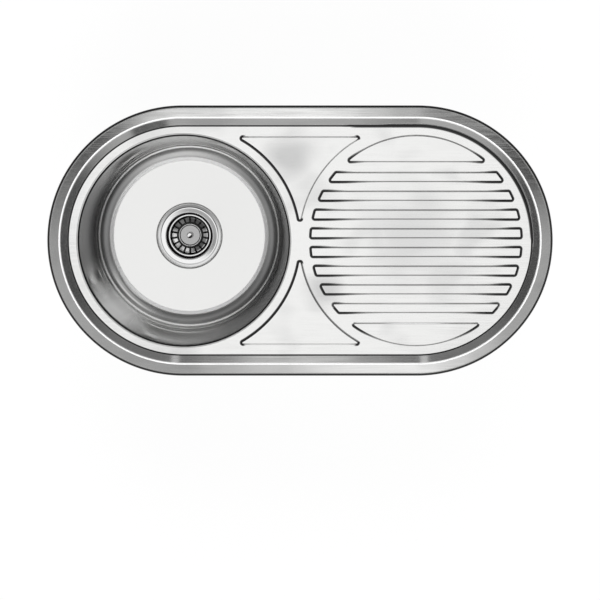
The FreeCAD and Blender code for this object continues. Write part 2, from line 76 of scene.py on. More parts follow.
# Whole sink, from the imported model
deck_low, deck_high = (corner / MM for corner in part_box("top_deck"))
bowl_low, bowl_high = (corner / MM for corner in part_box("bowl"))
basket_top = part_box("basket")[1].z / MM
sink_length = deck_high.x - deck_low.x
sink_width = deck_high.y - deck_low.y
sink_low = cad_box[0].z / MM
end_radius = sink_width / 2
end_centre = sink_length / 2 - end_radius
ridge_height = deck_high.z
bowl_x = (bowl_low.x + bowl_high.x) / 2
mouth_radius = (bowl_high.x - bowl_low.x) / 2
deck_level = bowl_high.z
sheet = deck_level - deck_low.z
seat_level = bowl_low.z + sheet
clip_numbers = range(1, 1 + sum(name.startswith("clip_screw_") for name in frame["nodes"]))
outlet = next(mount for mount in frame["record"]["mounts"] if mount["name"] == "waste_outlet")["dims"]

# Rim, from the outer edge inwards
edge_height = 3.8
edge_bend = 3
band_width = 20
ridge_bend = 1.4
step_width = 14
step_bend = 3
rim_lap = 6
foot_radius = end_radius - band_width - step_width

# Painted shade and highlight of the rim: where the painted dark edge starts and ends, the half widths of the painted
# highlight along the ridge and of the painted shade at the foot of the step, and how much that foot widens towards
# the rear right, between two corners
dark_edge = (-4.35, -3.3)
ridge_line = 0.9
foot_line = 1.1
foot_gain = 2.1
gain_corners = ((60, -20), (150, 60))

# Bowl
mouth_lip = 3.8
mouth_bend = 4
bowl_depth = 160
bowl_draft = 4.6
bowl_bend = 30
floor_fall = 3
recess_radius = 57.5
recess_slope = 1
recess_bend = 1.2
drain_hole_radius = 45

# Painted shade and highlight of the bowl: the painted dark line at the lip, the painted shade on the wall, the painted
# highlight between the floor and the heel, and the painted highlight ring in the heel
lip_depth = 1
lip_line = 0.6
wall_shade = 0.5
back_shade = 0.6
heel_start = 136
heel_fade = 5
floor_highlight_from = (-5, -2)
floor_highlight_to = (0, 3)
heel_highlight = 156
heel_highlight_line = 0.8

# Parts of the wall with painted light, as an angle in degrees, its reach and how much paler, and where they start
# and fade out
pale_parts = ((95, 75, 0.8), (222, 36, 1), (262, 70, 0.4))
pale_top = (2, 10)
pale_bottom = (bowl_depth - 20, bowl_depth - 5)
pale_loss = 0.6

# Drainer
mouth_surplus = 1.15
drainer_land = 17
drainer_radius = mouth_radius - 2 * mouth_surplus
drainer_x = end_centre + foot_radius - drainer_land - drainer_radius
bar_count = 8
bar_pitch = 31.2
bar_width = 16.6
segment_gap = 16.4
bar_shift = -3
press_corner = 3.2
corner_steps = 8
bar_side_steps = 6
segment_side_steps = 24

# Painted shade of the bars' and segments' edges along their middles, painted light where below 0, and how far out
# it turns dark
rear_shade = 0.5
front_shade = 0.8
front_bars_rear_shade = -0.5
front_segment_rear_shade = -0.9
end_shade = 0.97
end_from = 0.2

# Waisted panels
panel_bowl_land = 15.2
panel_drainer_land = 17.5
panel_edge_land = 17.5
panel_tip = 34
tip_corner = 2.47
panel_middle = 0
panel_reach = 96
panel_corner_steps = 10
panel_side_steps = 40

# Painted shade of the panels' edges: painted dark at the outer corners and the tip, painted light along the rim, and
# beside the drainer by the panel's side of the waist
panel_corner_dark = (-10, -4)
panel_hook_dark = (4, 12)
panel_tip_dark = (2, 8)
panel_rim_shade = -0.7
panel_drainer_shade = {1: -0.15, -1: 0.92}

# Greyer spots on the deck, as x, y, reach and depth
grey_spots = ((-15, 142, 55, 0.85), (38, -84, 40, 0.8), (190, 6, 120, 0.5), (240, -60, 60, 0.4))

# Section of a pressed edge
press_height = 2.4
press_width = 2.3
press_lead = 0.3
press_steps = 10

# Painted shade of a pressed edge: how dark it has to be before each ring round it, its wall and its top are darkened,
# where 2 is never and -1 always, and before its whole wall is as dark as its middle
dark_margin = 1.1
lead_darkness = (2, 0.9, 0.4)
wall_darkness = -1
top_darkness = 2
darkness_fade = 0.1
whole_wall_dark = (0.78, 1)

# Meshes: support runs beside bends, the angle and length of a part, and how near doubles lie
support = 0.4
bend_angle = 4
run_spacing = 2.5
edge_spacing = 6
merge_reach = 0.002
rim_merge_reach = 0.01
same_place = 0.001

# Waste, as radii about its axis
throat_radius = 40.2
basket_floor_edge = 32.4
slot_start = 23.6
cap_edge = 19.4
cap_side = 20.8

# Threads and clips
outlet_pitch = 2.309
outlet_thread_steps = 64
screw_radius = 2.5
screw_core = 2.1
screw_pitch = 0.8
screw_neck = 4
screw_head_height = 2.6
screw_point = 0.6
screw_thread_steps = 14
shank_margin = 0.5
shank_tolerance = 0.05
hanger_sheet = 1.5
weld_inset = 15.4
weld_gap = 8
weld_segments = 20
weld_rings = 10
weld_flatness = 0.14

# Studio and camera: the photograph is 600 pixels square
frame_pixels = 600
sensor = 36
sink_pixels_wide = 506
sink_centre_pixel_y = 241
camera_height = 3200
camera_foot_y = 176
camera_reach = 100000
floor_reach = 30000
floor_steps = 64
floor_glow = 0.92
lamp_tilt = 55
lamp_angle = 40

# Parts of the studio, each as where it starts and ends and its strengths there. Sides go by depth, belt, horizon and
# main sheet by the sine of the angle from straight up, and cards and small sheets by the distance from their direction
sides_skew = 0.35
high_sides = (-0.32, 0.3, 0.4, 0.06)
low_sides_front = (-1, -0.5, 0.42, 0.07)
low_sides_rear = (0.4, 1, 0, 0.12)
high_to_low = (0.3, 0.7, 0, 1)
belt_rise = (0.38, 0.48, 0, 1)
belt_fall = (0.76, 0.88, 1, 0)
belt_depthwise = (-0.2, 1, 0.85, 0.3)
belt_bottom = (0.62, 0.72, 0, 0.75)
horizon_rise = (0.945, 0.975, 0, 1)
horizon_sag = 0.03
sheet_edge = (0.148, 0.185, 1, 0)
dark_card_edge = (0.06, 0.1, 0.2, 1)
dark_card_place = (0.12, 0.15, 0.981)
low_cards = (((0, 1, 0), (0.03, 0.037, 0.45, 0)), ((0.2, -0.98, 0), (0.12, 0.17, -0.3, 0)))
small_sheets = (((0.07, -0.25, 0.964), (0.03, 0.13, 0.95, 0)), ((0.18, 0.18, 0.967), (0.03, 0.1, 0.6, 0)))

# Settings and inputs that several nodes share. A soft range takes its value, where it starts and ends, and what it
# gives there
soft = {"interpolation_type": "SMOOTHSTEP"}
coloured = {"data_type": "RGBA"}
ring_wave = {"wave_type": "RINGS", "rings_direction": "Z"}
waste_axis = {"Location": (-bowl_x * MM, 0, 0), "Scale": (1, 1, 0)}


def linear(code):
    """Linear colour of an sRGB hex code such as E8E8E8."""
    values = [int(code[i:i + 2], 16) / 255 for i in (0, 2, 4)]
    return tuple(v / 12.92 if v <= 0.04045 else ((v + 0.055) / 1.055) ** 2.4 for v in values)


def colour_property(name, description, code):
    """A colour that a user would change, given as a hex code."""
    return FloatVectorProperty(name=name, description=description, subtype="COLOR", size=3, min=0, max=1,
                               default=linear(code))


class SinkSheet(bpy.types.PropertyGroup):
    """Sizes and colours of the pressed deck and the drawn bowl."""
    steel: colour_property("Deck steel", "Colour of the satin sheet on the flats", "EDEDEC")
    # Painted shade: the near-black colour painted along pressed edges, round the bowl's lip and in its heel
    painted_shade_colour: colour_property("Pressed edge", "Colour of the sheet where the press has stretched it", "0A0A0A")
    clouds: colour_property("Cloudy steel", "Colour of the soft grey clouds in the satin finish", "C4C4C4")
    bowl: colour_property("Bowl steel", "Colour of the drawn bowl", "E9E9E8")
    # Painted shade: the darker grey painted on the bowl's wall and heel
    painted_wall_shade: colour_property("Bowl wall", "Colour of the bowl's wall, dulled by drawing", "929292")
    deck_roughness: FloatProperty(name="Deck roughness", description="How much the deck blurs what it mirrors",
                                  default=0.1, min=0, max=1, subtype="FACTOR")
    bowl_roughness: FloatProperty(name="Bowl roughness", description="How much the bowl blurs what it mirrors",
                                  default=0.07, min=0, max=1, subtype="FACTOR")
    rim_segments: IntProperty(name="Rim segments", description="Divisions of the sheet round the rim",
                              default=320, min=64, max=1024)
    round_segments: IntProperty(name="Round segments", description="Divisions of the bowl and its mouth",
                                default=192, min=48, max=512)


class SinkWaste(bpy.types.PropertyGroup):
    """Colours of the strainer and the waste body, and the pitch of the outlet's thread."""
    polish: colour_property("Polished steel", "Colour of the polished flange, basket rim and knob", "F0F0F0")
    # Painted shade and dark reflection: near-black painted in the throat, on the basket's wall and middle, on its rear
    # teeth, round the cap's side and on the knob's front right
    painted_dark: colour_property("Throat", "Colour of the unpolished steel inside the throat", "2C2C2C")
    cap: colour_property("Cap", "Colour of the turned plate in the basket's middle", "B4B4B4")
    plastic: colour_property("Body plastic", "Colour of the moulded waste body", "E2E2DE")
    pitch: FloatProperty(name="Outlet pitch", description="Pitch of the outlet's pipe thread", unit="LENGTH",
                         default=outlet_pitch * MM, min=0.5 * MM, max=5 * MM)


class SinkUnderside(bpy.types.PropertyGroup):
    """Colours of the seals, pads and clips, the pitch of the clip screws and the size of the spot welds."""
    rubber: colour_property("Rubber", "Colour of the moulded rubber seals", "242424")
    foam: colour_property("Foam", "Colour of the closed-cell foam strip", "5B5B5D")
    bitumen: colour_property("Bitumen", "Colour of the sound-deadening pads", "3A3A3B")
    zinc: colour_property("Zinc", "Colour of the zinc-plated clips", "BEC2C8")
    pitch: FloatProperty(name="Screw pitch", description="Pitch of the clip screws' thread", unit="LENGTH",
                         default=screw_pitch * MM, min=0.3 * MM, max=2 * MM)
    weld_radius: FloatProperty(name="Weld radius", description="Radius of the spot welds on the hangers",
                               unit="LENGTH", default=2.4 * MM, min=1 * MM, max=3.5 * MM)


class SinkStudio(bpy.types.PropertyGroup):
    """Light and floor of the studio."""
    overhead: FloatProperty(name="Overhead sheet", description="Strength of the white sheet of light overhead",
                            default=1.04, min=0, max=5)
    lamps: FloatProperty(name="Side lamps", description="Strength of the two soft lamps", default=1.7, min=0, max=10)
    floor: colour_property("Floor", "Colour of the studio floor", "FFFFFF")


def feed(node, inputs):
    """Give a node its inputs, by name or in the order it shows them. A value is set, and a socket or a node's first
    output is linked."""
    shown = [socket for socket in node.inputs if socket.enabled]
    for key, value in inputs.items() if isinstance(inputs, dict) else enumerate(inputs):
        socket = shown[key] if isinstance(key, int) else node.inputs[key]
        if isinstance(value, bpy.types.Node):
            value = next(output for output in value.outputs if output.enabled)
        if isinstance(value, bpy.types.NodeSocket):
            node.id_data.links.new(value, socket)
        else:
            socket.default_value = (*value, 1) if socket.type == "RGBA" else value


def add_node(tree, kind, settings=None, inputs=()):
    """A node with its settings and its inputs."""
    node = tree.nodes.new(kind)
    for name, value in (settings or {}).items():
        setattr(node, name, value)
    feed(node, inputs)
    return node


def arc_points(x, y, radius, start, end, count):
    """Points of an arc from one angle to another, in radians, both ends included."""
    angles = [start + (end - start) * i / count for i in range(count + 1)]
    return [(x + radius * math.cos(a), y + radius * math.sin(a)) for a in angles]


def circle_points(x, y, radius, count):
    """Points of a whole circle, anticlockwise."""
    return arc_points(x, y, radius, 0, 2 * math.pi * (1 - 1 / count), count - 1)


def run_counts(points, spacing):
    """How many parts each run between neighbouring points needs so that no part is much longer than a spacing."""
    return [max(1, round(math.dist(start, end) / spacing)) for start, end in zip(points, points[1:])]


def divided(points, counts):
    """The path with each of its runs cut into a count of equal parts."""
    cut = []
    for start, end, count in zip(points, points[1:], counts):
        cut += [Vector(start).lerp(Vector(end), i / count) for i in range(count)]
    return cut + [Vector(points[-1])]


def rounded_path(corners):
    """Points of an open path through (x, z, bend) corners, with an arc and support points at each bend."""
    points = [Vector(corners[0][:2])]
    for before, (x, z, bend), after in zip(corners, corners[1:], corners[2:]):
        here = Vector((x, z))
        back = (Vector(before[:2]) - here).normalized()
        ahead = (Vector(after[:2]) - here).normalized()
        half = back.angle(ahead) / 2
        middle = here + (back + ahead).normalized() * (bend / math.sin(half))
        start = here + back * (bend / math.tan(half)) - middle
        turn = start.angle_signed(here + ahead * (bend / math.tan(half)) - middle)
        steps = max(2, round(abs(math.degrees(turn)) / bend_angle))
        points += [middle + start + back * 2 * support, middle + start + back * support]
        for i in range(steps + 1):
            arm = start.copy()
            arm.rotate(Matrix.Rotation(-turn * i / steps, 2))
            points.append(middle + arm)
        points += [middle + arm + ahead * support, middle + arm + ahead * 2 * support]
    points.append(Vector(corners[-1][:2]))
    return divided(points, run_counts(points, run_spacing))


def offset_points(points, distance):
    """The path moved to its left by a distance."""
    moved = []
    for i, point in enumerate(points):
        run = (points[min(i + 1, len(points) - 1)] - points[max(i - 1, 0)]).normalized()
        moved.append(point + Vector((-run.y, run.x)) * distance)
    return moved


def smooth_step(value, low, high):
    """Share from 0 at low to 1 at high, with soft ends."""
    share = min(1, max(0, (value - low) / (high - low)))
    return share * share * (3 - 2 * share)


def put_mesh(name, mesh, body, slot, *nodes):
    """Object at the origin that rides on a body and stands for nodes; the slot is not used."""
    piece = bpy.data.objects.new(name, mesh)
    bpy.context.scene.collection.objects.link(piece)
    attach(piece, body)
    if nodes:
        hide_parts(*nodes)
    return piece


def mesh_of(bm, name, material, smooth_angle=35):
    """Mesh from a bmesh, smooth but for edges sharper than an angle."""
    for face in bm.faces:
        face.smooth = True
    for edge in bm.edges:
        edge.smooth = edge.calc_face_angle(math.pi) < math.radians(smooth_angle)
    mesh = bpy.data.meshes.new(name)
    bm.to_mesh(mesh)
    bm.free()
    mesh.materials.append(material)
    mesh.polygons.foreach_set("material_index", [0] * len(mesh.polygons))
    return mesh


def coat(material, *names):
    """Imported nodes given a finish."""
    for name in names:
        for holder in frame["nodes"][name].material_slots:
            holder.material = material


def new_material(name):
    """A node material with its tree, its shader and the socket that gives the place on the piece."""
    material = bpy.data.materials.new(name)
    material.use_nodes = True
    tree = material.node_tree
    return material, tree, tree.nodes["Principled BSDF"], add_node(tree, "ShaderNodeTexCoord").outputs["Object"]


def grain(size):
    """Scale that gives a noise or cell pattern its grain, in millimetres."""
    return 1 / (size * MM)


def ring_scale(spacing):
    """Scale that sets a wave pattern's rings a spacing in millimetres apart."""
    return math.pi / (10 * spacing * MM)


def grained(tree, place, size, depth, detail=3):
    """Relief with a grain and a depth in millimetres."""
    relief = add_node(tree, "ShaderNodeTexNoise", None, {"Vector": place, "Scale": grain(size), "Detail": detail})
    return add_node(tree, "ShaderNodeBump", None, {"Distance": depth * MM, "Height": relief})


def ringed(tree, about, spacing, depth, distortion=0):
    """Relief of rings about an upright axis, with a spacing and a depth in millimetres."""
    rings = add_node(tree, "ShaderNodeTexWave", ring_wave, {
        "Vector": about, "Scale": ring_scale(spacing), "Distortion": distortion}).outputs["Fac"]
    return add_node(tree, "ShaderNodeBump", None, {"Distance": depth * MM, "Height": rings})


def lathe_marks(tree, place):
    """Noise drawn out round the piece: turning marks are about 0.15 mm apart, drawn at 0.4 mm so that they show."""
    round_it = add_node(tree, "ShaderNodeMapping", None, {"Vector": place, "Scale": (0.1, 0.1, 1)})
    return add_node(tree, "ShaderNodeTexNoise", None, {"Vector": round_it, "Scale": grain(0.4), "Detail": 3})


def satin_sheet():
    """18/10 stainless sheet, cold rolled and satin brushed along its length: bright and faintly streaked on the
    flats, with soft grey clouds, painted shade near black along the pressed edges and painted highlights along the
    rim's ridge and some edges."""
    look = bpy.context.scene.sink_sheet
    material, tree, shader, place = new_material("satin_brushed_18_10_sheet")
    # Brush lines are about 0.1 mm apart on the real sheet, drawn at 1.2 mm so that they show
    along = add_node(tree, "ShaderNodeMapping", None, {"Vector": place, "Scale": (1 / 60, 1, 1)})
    lines = add_node(tree, "ShaderNodeTexNoise", None, {"Vector": along, "Scale": grain(1.2), "Detail": 3})
    # Clouds a hand wide, and greyer spots with ragged edges
    drift = add_node(tree, "ShaderNodeMapping", None, {
        "Vector": place, "Location": (-96 * MM, -40 * MM, 0), "Scale": (0.8, 1, 1)})
    patches = add_node(tree, "ShaderNodeTexNoise", None, {"Vector": drift, "Scale": grain(95), "Detail": 2})
    clouds = add_node(tree, "ShaderNodeMapRange", soft, (patches, 0.5, 0.72, 0, 0.45))
    wider = add_node(tree, "ShaderNodeMapping", None, {"Vector": place, "Scale": (0.6, 1, 1)})
    edges = add_node(tree, "ShaderNodeTexNoise", None, {"Vector": wider, "Scale": grain(45), "Detail": 1})
    for x, y, reach, depth in grey_spots:
        about = add_node(tree, "ShaderNodeMapping", None, {
            "Vector": place, "Location": (-x * MM, -y * MM, 0), "Scale": (1, 1, 0)})
        away = add_node(tree, "ShaderNodeVectorMath", {"operation": "LENGTH"}, [about])
        ragged = add_node(tree, "ShaderNodeMath", {"operation": "MULTIPLY_ADD"}, (edges, reach * MM, away))
        spot = add_node(tree, "ShaderNodeMapRange", soft, (ragged, 0.6 * reach * MM, 1.6 * reach * MM, depth, 0))
        clouds = add_node(tree, "ShaderNodeMath", {"operation": "MAXIMUM"}, (clouds, spot))
    colour = add_node(tree, "ShaderNodeMix", coloured, (clouds, look.steel, look.clouds))
    # The sheet's attribute runs from 1, painted shade near black, to -1, a painted highlight in white
    shade = add_node(tree, "ShaderNodeAttribute", {"attribute_name": "press_shade"}).outputs["Fac"]
    for end, tint in ((-1, linear("FFFFFF")), (1, look.painted_shade_colour)):
        share = add_node(tree, "ShaderNodeMapRange", soft, (shade, 0, end, 0, 1))
        colour = add_node(tree, "ShaderNodeMix", coloured, (share, colour, tint))
    extent = add_node(tree, "ShaderNodeMath", {"operation": "ABSOLUTE"}, [shade])
    bare = add_node(tree, "ShaderNodeMapRange", soft, (extent, 0, 1, 1, 0))
    blur = add_node(tree, "ShaderNodeMapRange", soft, (
        lines, 0.3, 0.7, look.deck_roughness * 0.7, look.deck_roughness * 1.4))
    rolled = grained(tree, place, 140, 0.5, 1)
    brushed = add_node(tree, "ShaderNodeBump", None, {"Distance": 0.003 * MM, "Height": lines, "Normal": rolled})
    feed(shader, {"Base Color": colour, "Metallic": bare, "Roughness": blur, "Normal": brushed})
    return material


def drawn_steel():
    """18/10 stainless, deep drawn and polished inside: painted shade darkens the wall and painted light makes parts of
    it paler, the floor is bright and carries faint rings from polishing."""
    look = bpy.context.scene.sink_sheet
    material, tree, shader, place = new_material("deep_drawn_18_10_bowl")
    # The bowl's attribute is 1 for the painted dark line round the lip, a half for the painted shade on the wall, and
    # below
    # 0 for painted light and highlights
    shade = add_node(tree, "ShaderNodeAttribute", {"attribute_name": "press_shade"}).outputs["Fac"]
    colour = look.bowl
    for start, end, tint in ((0, 0.5, look.painted_wall_shade), (0.5, 1, look.painted_shade_colour), (0, -1, linear("FFFFFF"))):
        share = add_node(tree, "ShaderNodeMapRange", soft, (shade, start, end, 0, 1))
        colour = add_node(tree, "ShaderNodeMix", coloured, (share, colour, tint))
    bare = add_node(tree, "ShaderNodeMapRange", soft, (shade, 0, -1, 1, 0.1))
    # Polishing rings are finer than 0.2 mm on the real bowl, drawn at 2 mm so that they show, on the floor alone
    about = add_node(tree, "ShaderNodeMapping", None, {"Vector": place, **waste_axis})
    rings = add_node(tree, "ShaderNodeTexWave", ring_wave, {"Vector": about, "Scale": ring_scale(2)}).outputs["Fac"]
    height = add_node(tree, "ShaderNodeSeparateXYZ", None, [place]).outputs["Z"]
    floor = deck_level - bowl_depth
    low = add_node(tree, "ShaderNodeMapRange", soft, (height, (floor + 1) * MM, (floor + 12) * MM, 1, 0))
    marks = add_node(tree, "ShaderNodeMath", {"operation": "MULTIPLY"}, (rings, low))
    polish = add_node(tree, "ShaderNodeMapRange", soft, (
        marks, 0, 1, look.bowl_roughness, look.bowl_roughness * 1.8))
    extent = add_node(tree, "ShaderNodeMath", {"operation": "ABSOLUTE"}, [shade])
    drawn = add_node(tree, "ShaderNodeMapRange", soft, (extent, 0, 0.3, 0, 0.2))
    blur = add_node(tree, "ShaderNodeMath", {"operation": "ADD"}, (polish, drawn))
    uneven = grained(tree, place, 110, 0.12, 1)
    feed(shader, {"Base Color": colour, "Metallic": bare, "Roughness": blur, "Normal": uneven})
    return material


def polished_steel():
    """18/10 stainless polished to a mirror, with hairline wiping marks."""
    look = bpy.context.scene.sink_waste
    material, tree, shader, place = new_material("mirror_polished_18_10")
    # Wiping marks are hair fine on the real parts, drawn at 0.9 mm so that they show
    wiped = add_node(tree, "ShaderNodeMapping", None, {"Vector": place, "Scale": (1, 0.12, 1)})
    marks = add_node(tree, "ShaderNodeTexNoise", None, {"Vector": wiped, "Scale": grain(0.9), "Detail": 3})
    blur = add_node(tree, "ShaderNodeMapRange", soft, (marks, 0.35, 0.75, 0.04, 0.12))
    hairlines = add_node(tree, "ShaderNodeBump", None, {"Distance": 0.001 * MM, "Height": marks})
    feed(shader, {"Base Color": look.polish, "Metallic": 1, "Roughness": blur, "Normal": hairlines})
    return material


def knob_steel():
    """Turned and buffed knob: a mirror coloured with a painted reflection, white overhead at its rear left and the
    dark room at its front right."""
    look = bpy.context.scene.sink_waste
    material, tree, shader, place = new_material("buffed_18_10_knob")
    about = add_node(tree, "ShaderNodeMapping", None, {"Vector": place, **waste_axis})
    # Painted reflection: dark towards the front right
    across = add_node(tree, "ShaderNodeVectorMath", {"operation": "DOT_PRODUCT"}, (about, (0.6, -0.8, 0)))
    dark = add_node(tree, "ShaderNodeMapRange", soft, (across, 0, 1.5 * MM, 0, 1))
    colour = add_node(tree, "ShaderNodeMix", coloured, (dark, look.polish, look.painted_dark))
    # Buffing marks are finer than 0.1 mm on the real knob, drawn at 0.7 mm so that they show
    buffing_and_highlight = ringed(tree, about, 0.7, 0.001)
    feed(shader, {"Base Color": colour, "Metallic": 1, "Roughness": 0.08, "Normal": buffing_and_highlight})
    return material


def dish_steel():
    """Spun and polished dish: a mirror on the flange, with painted shade inside the throat."""
    look = bpy.context.scene.sink_waste
    material, tree, shader, place = new_material("spun_18_10_dish")
    about = add_node(tree, "ShaderNodeMapping", None, {"Vector": place, **waste_axis})
    away = add_node(tree, "ShaderNodeVectorMath", {"operation": "LENGTH"}, [about])
    # Painted shade inside the throat
    inside = add_node(tree, "ShaderNodeMapRange", soft, (
        away, (throat_radius - 0.4) * MM, (throat_radius + 0.6) * MM, 1, 0))
    colour = add_node(tree, "ShaderNodeMix", coloured, (inside, look.polish, look.painted_dark))
    # Spinning marks are about 0.3 mm apart on the real dish, drawn at 1.1 mm so that they show
    spun = ringed(tree, about, 1.1, 0.002, 0.6)
    feed(shader, {"Base Color": colour, "Metallic": 1, "Roughness": 0.08, "Normal": spun})
    return material


def basket_steel():
    """Pressed and pierced basket: polished rim and teeth, with painted shade on the wall between them, round the
    middle and on the teeth at the rear.
    """
    look = bpy.context.scene.sink_waste
    material, tree, shader, place = new_material("pierced_18_10_basket")
    about = add_node(tree, "ShaderNodeMapping", None, {"Vector": place, **waste_axis})
    away = add_node(tree, "ShaderNodeVectorMath", {"operation": "LENGTH"}, [about])
    _, depthwise, height = add_node(tree, "ShaderNodeSeparateXYZ", None, [place]).outputs
    # Painted shade on the wall below the rim, round the middle inside the slots and on the rear teeth
    below_rim = add_node(tree, "ShaderNodeMapRange", soft, (
        height, (basket_top - 1.1) * MM, (basket_top - 0.3) * MM, 1, 0))
    outside = add_node(tree, "ShaderNodeMapRange", soft, (
        away, (basket_floor_edge - 0.8) * MM, basket_floor_edge * MM, 0, 1))
    wall = add_node(tree, "ShaderNodeMath", {"operation": "MULTIPLY"}, (below_rim, outside))
    middle = add_node(tree, "ShaderNodeMapRange", soft, (
        away, (slot_start - 0.6) * MM, (slot_start + 0.4) * MM, 1, 0))
    behind = add_node(tree, "ShaderNodeMapRange", soft, (depthwise, 4 * MM, 14 * MM, 0, 0.84))
    rear = add_node(tree, "ShaderNodeMath", {"operation": "MULTIPLY"}, (below_rim, behind))
    tarnish_and_shade = add_node(tree, "ShaderNodeMath", {"operation": "MAXIMUM"}, (wall, middle))
    dark = add_node(tree, "ShaderNodeMath", {"operation": "MAXIMUM"}, (tarnish_and_shade, rear))
    colour = add_node(tree, "ShaderNodeMix", coloured, (dark, look.polish, look.painted_dark))
    # The ripple left by the press is a millimetre or two wide
    pressed = grained(tree, place, 1.5, 0.004)
    feed(shader, {"Base Color": colour, "Metallic": 1, "Roughness": 0.1, "Normal": pressed})
    return material


def turned_cap():
    """Faced steel plate in a greyer tone, with concentric tool marks, inside a raised polished edge, with painted
    shade round its side.
    """
    look = bpy.context.scene.sink_waste
    material, tree, shader, place = new_material("faced_18_10_cap")
    about = add_node(tree, "ShaderNodeMapping", None, {"Vector": place, **waste_axis})
    away = add_node(tree, "ShaderNodeVectorMath", {"operation": "LENGTH"}, [about])
    plate = add_node(tree, "ShaderNodeMapRange", soft, (away, (cap_edge - 0.6) * MM, cap_edge * MM, 1, 0))
    # Painted shade round the cap's side
    side = add_node(tree, "ShaderNodeMapRange", soft, (away, (cap_side - 0.3) * MM, (cap_side + 0.3) * MM, 0, 1))
    faced = add_node(tree, "ShaderNodeMix", coloured, (plate, look.polish, look.cap))
    colour = add_node(tree, "ShaderNodeMix", coloured, (side, faced, look.painted_dark))
    # Tool marks are about 0.1 mm apart on the real cap, drawn at 0.8 mm so that they show
    turned = ringed(tree, about, 0.8, 0.006)
    feed(shader, {"Base Color": colour, "Metallic": 1, "Roughness": 0.16, "Normal": turned})
    return material


def zinc_plate():
    """Bright zinc plating over pressed steel: bluish, slightly clouded, satin."""
    look = bpy.context.scene.sink_underside
    material, tree, shader, place = new_material("bright_zinc_plated_steel")
    clouds = add_node(tree, "ShaderNodeTexNoise", None, {"Vector": place, "Scale": grain(6), "Detail": 3})
    darker = tuple(0.72 * part for part in look.zinc)
    share = add_node(tree, "ShaderNodeMapRange", soft, (clouds, 0.4, 0.7, 0, 1))
    colour = add_node(tree, "ShaderNodeMix", coloured, (share, look.zinc, darker))
    blur = add_node(tree, "ShaderNodeMapRange", soft, (clouds, 0.3, 0.7, 0.24, 0.4))
    # The zinc's grain is about 0.1 mm on the real clips, drawn at 0.8 mm so that it shows
    plated = grained(tree, place, 0.8, 0.01)
    feed(shader, {"Base Color": colour, "Metallic": 1, "Roughness": blur, "Normal": plated})
    return material


def moulded_rubber():
    """Black EPDM, compression moulded: matt, with a bloom that greys it in patches."""
    look = bpy.context.scene.sink_underside
    material, tree, shader, place = new_material("moulded_epdm_rubber")
    patches = add_node(tree, "ShaderNodeTexNoise", None, {"Vector": place, "Scale": grain(7), "Detail": 3})
    bloom = add_node(tree, "ShaderNodeMapRange", soft, (patches, 0.45, 0.75, 0, 0.5))
    colour = add_node(tree, "ShaderNodeMix", coloured, (bloom, look.rubber, linear("45454A")))
    # Pores are about 0.1 mm wide in real rubber, drawn at 0.6 mm so that they show
    skin = grained(tree, place, 0.6, 0.03)
    feed(shader, {"Base Color": colour, "Metallic": 0, "Roughness": 0.62, "Normal": skin})
    return material


def foam_strip():
    """Closed-cell polyethylene foam, skived: matt grey, with the cut cells open on its faces."""
    look = bpy.context.scene.sink_underside
    material, tree, shader, place = new_material("closed_cell_pe_foam")
    # Cells are about 0.4 mm wide in real foam, drawn at 0.7 mm so that they show
    cells = add_node(tree, "ShaderNodeTexVoronoi", {"feature": "F1"}, {"Vector": place, "Scale": grain(0.7)})
    lighter = tuple(min(1, 1.5 * part) for part in look.foam)
    share = add_node(tree, "ShaderNodeMapRange", soft, (cells, 0.1, 0.7, 0, 1))
    colour = add_node(tree, "ShaderNodeMix", coloured, (share, look.foam, lighter))
    skived = add_node(tree, "ShaderNodeBump", None, {"Distance": 0.12 * MM, "Height": cells})
    feed(shader, {"Base Color": colour, "Metallic": 0, "Roughness": 0.85, "Normal": skived})
    return material


def bitumen_sheet():
    """Bitumen felt with a talc-dusted face: dull, gritty, embossed by its press cloth."""
    look = bpy.context.scene.sink_underside
    material, tree, shader, place = new_material("talc_dusted_bitumen_felt")
    drift = add_node(tree, "ShaderNodeTexNoise", None, {"Vector": place, "Scale": grain(24), "Detail": 3})
    dust = tuple(1.9 * part for part in look.bitumen)
    dusty = add_node(tree, "ShaderNodeMapRange", soft, (drift, 0.4, 0.7, 0, 0.8))
    colour = add_node(tree, "ShaderNodeMix", coloured, (dusty, look.bitumen, dust))
    # The cloth's weave is about 2 mm on real felt, drawn at 6 mm so that it shows
    level = add_node(tree, "ShaderNodeMapping", None, {"Vector": place, "Scale": (1, 1, 0)})
    cloth = add_node(tree, "ShaderNodeTexVoronoi", {"feature": "DISTANCE_TO_EDGE"}, {
        "Vector": level, "Scale": grain(6), "Randomness": 0})
    raised = add_node(tree, "ShaderNodeMapRange", soft, (cloth, 0, 0.12, 0, 1))
    embossed = add_node(tree, "ShaderNodeBump", None, {"Distance": 0.25 * MM, "Height": raised})
    grit = add_node(tree, "ShaderNodeTexNoise", None, {"Vector": place, "Scale": grain(0.9), "Detail": 3})
    gritty = add_node(tree, "ShaderNodeBump", None, {"Distance": 0.12 * MM, "Height": grit, "Normal": embossed})
    feed(shader, {"Base Color": colour, "Metallic": 0, "Roughness": 0.8, "Normal": gritty})
    return material


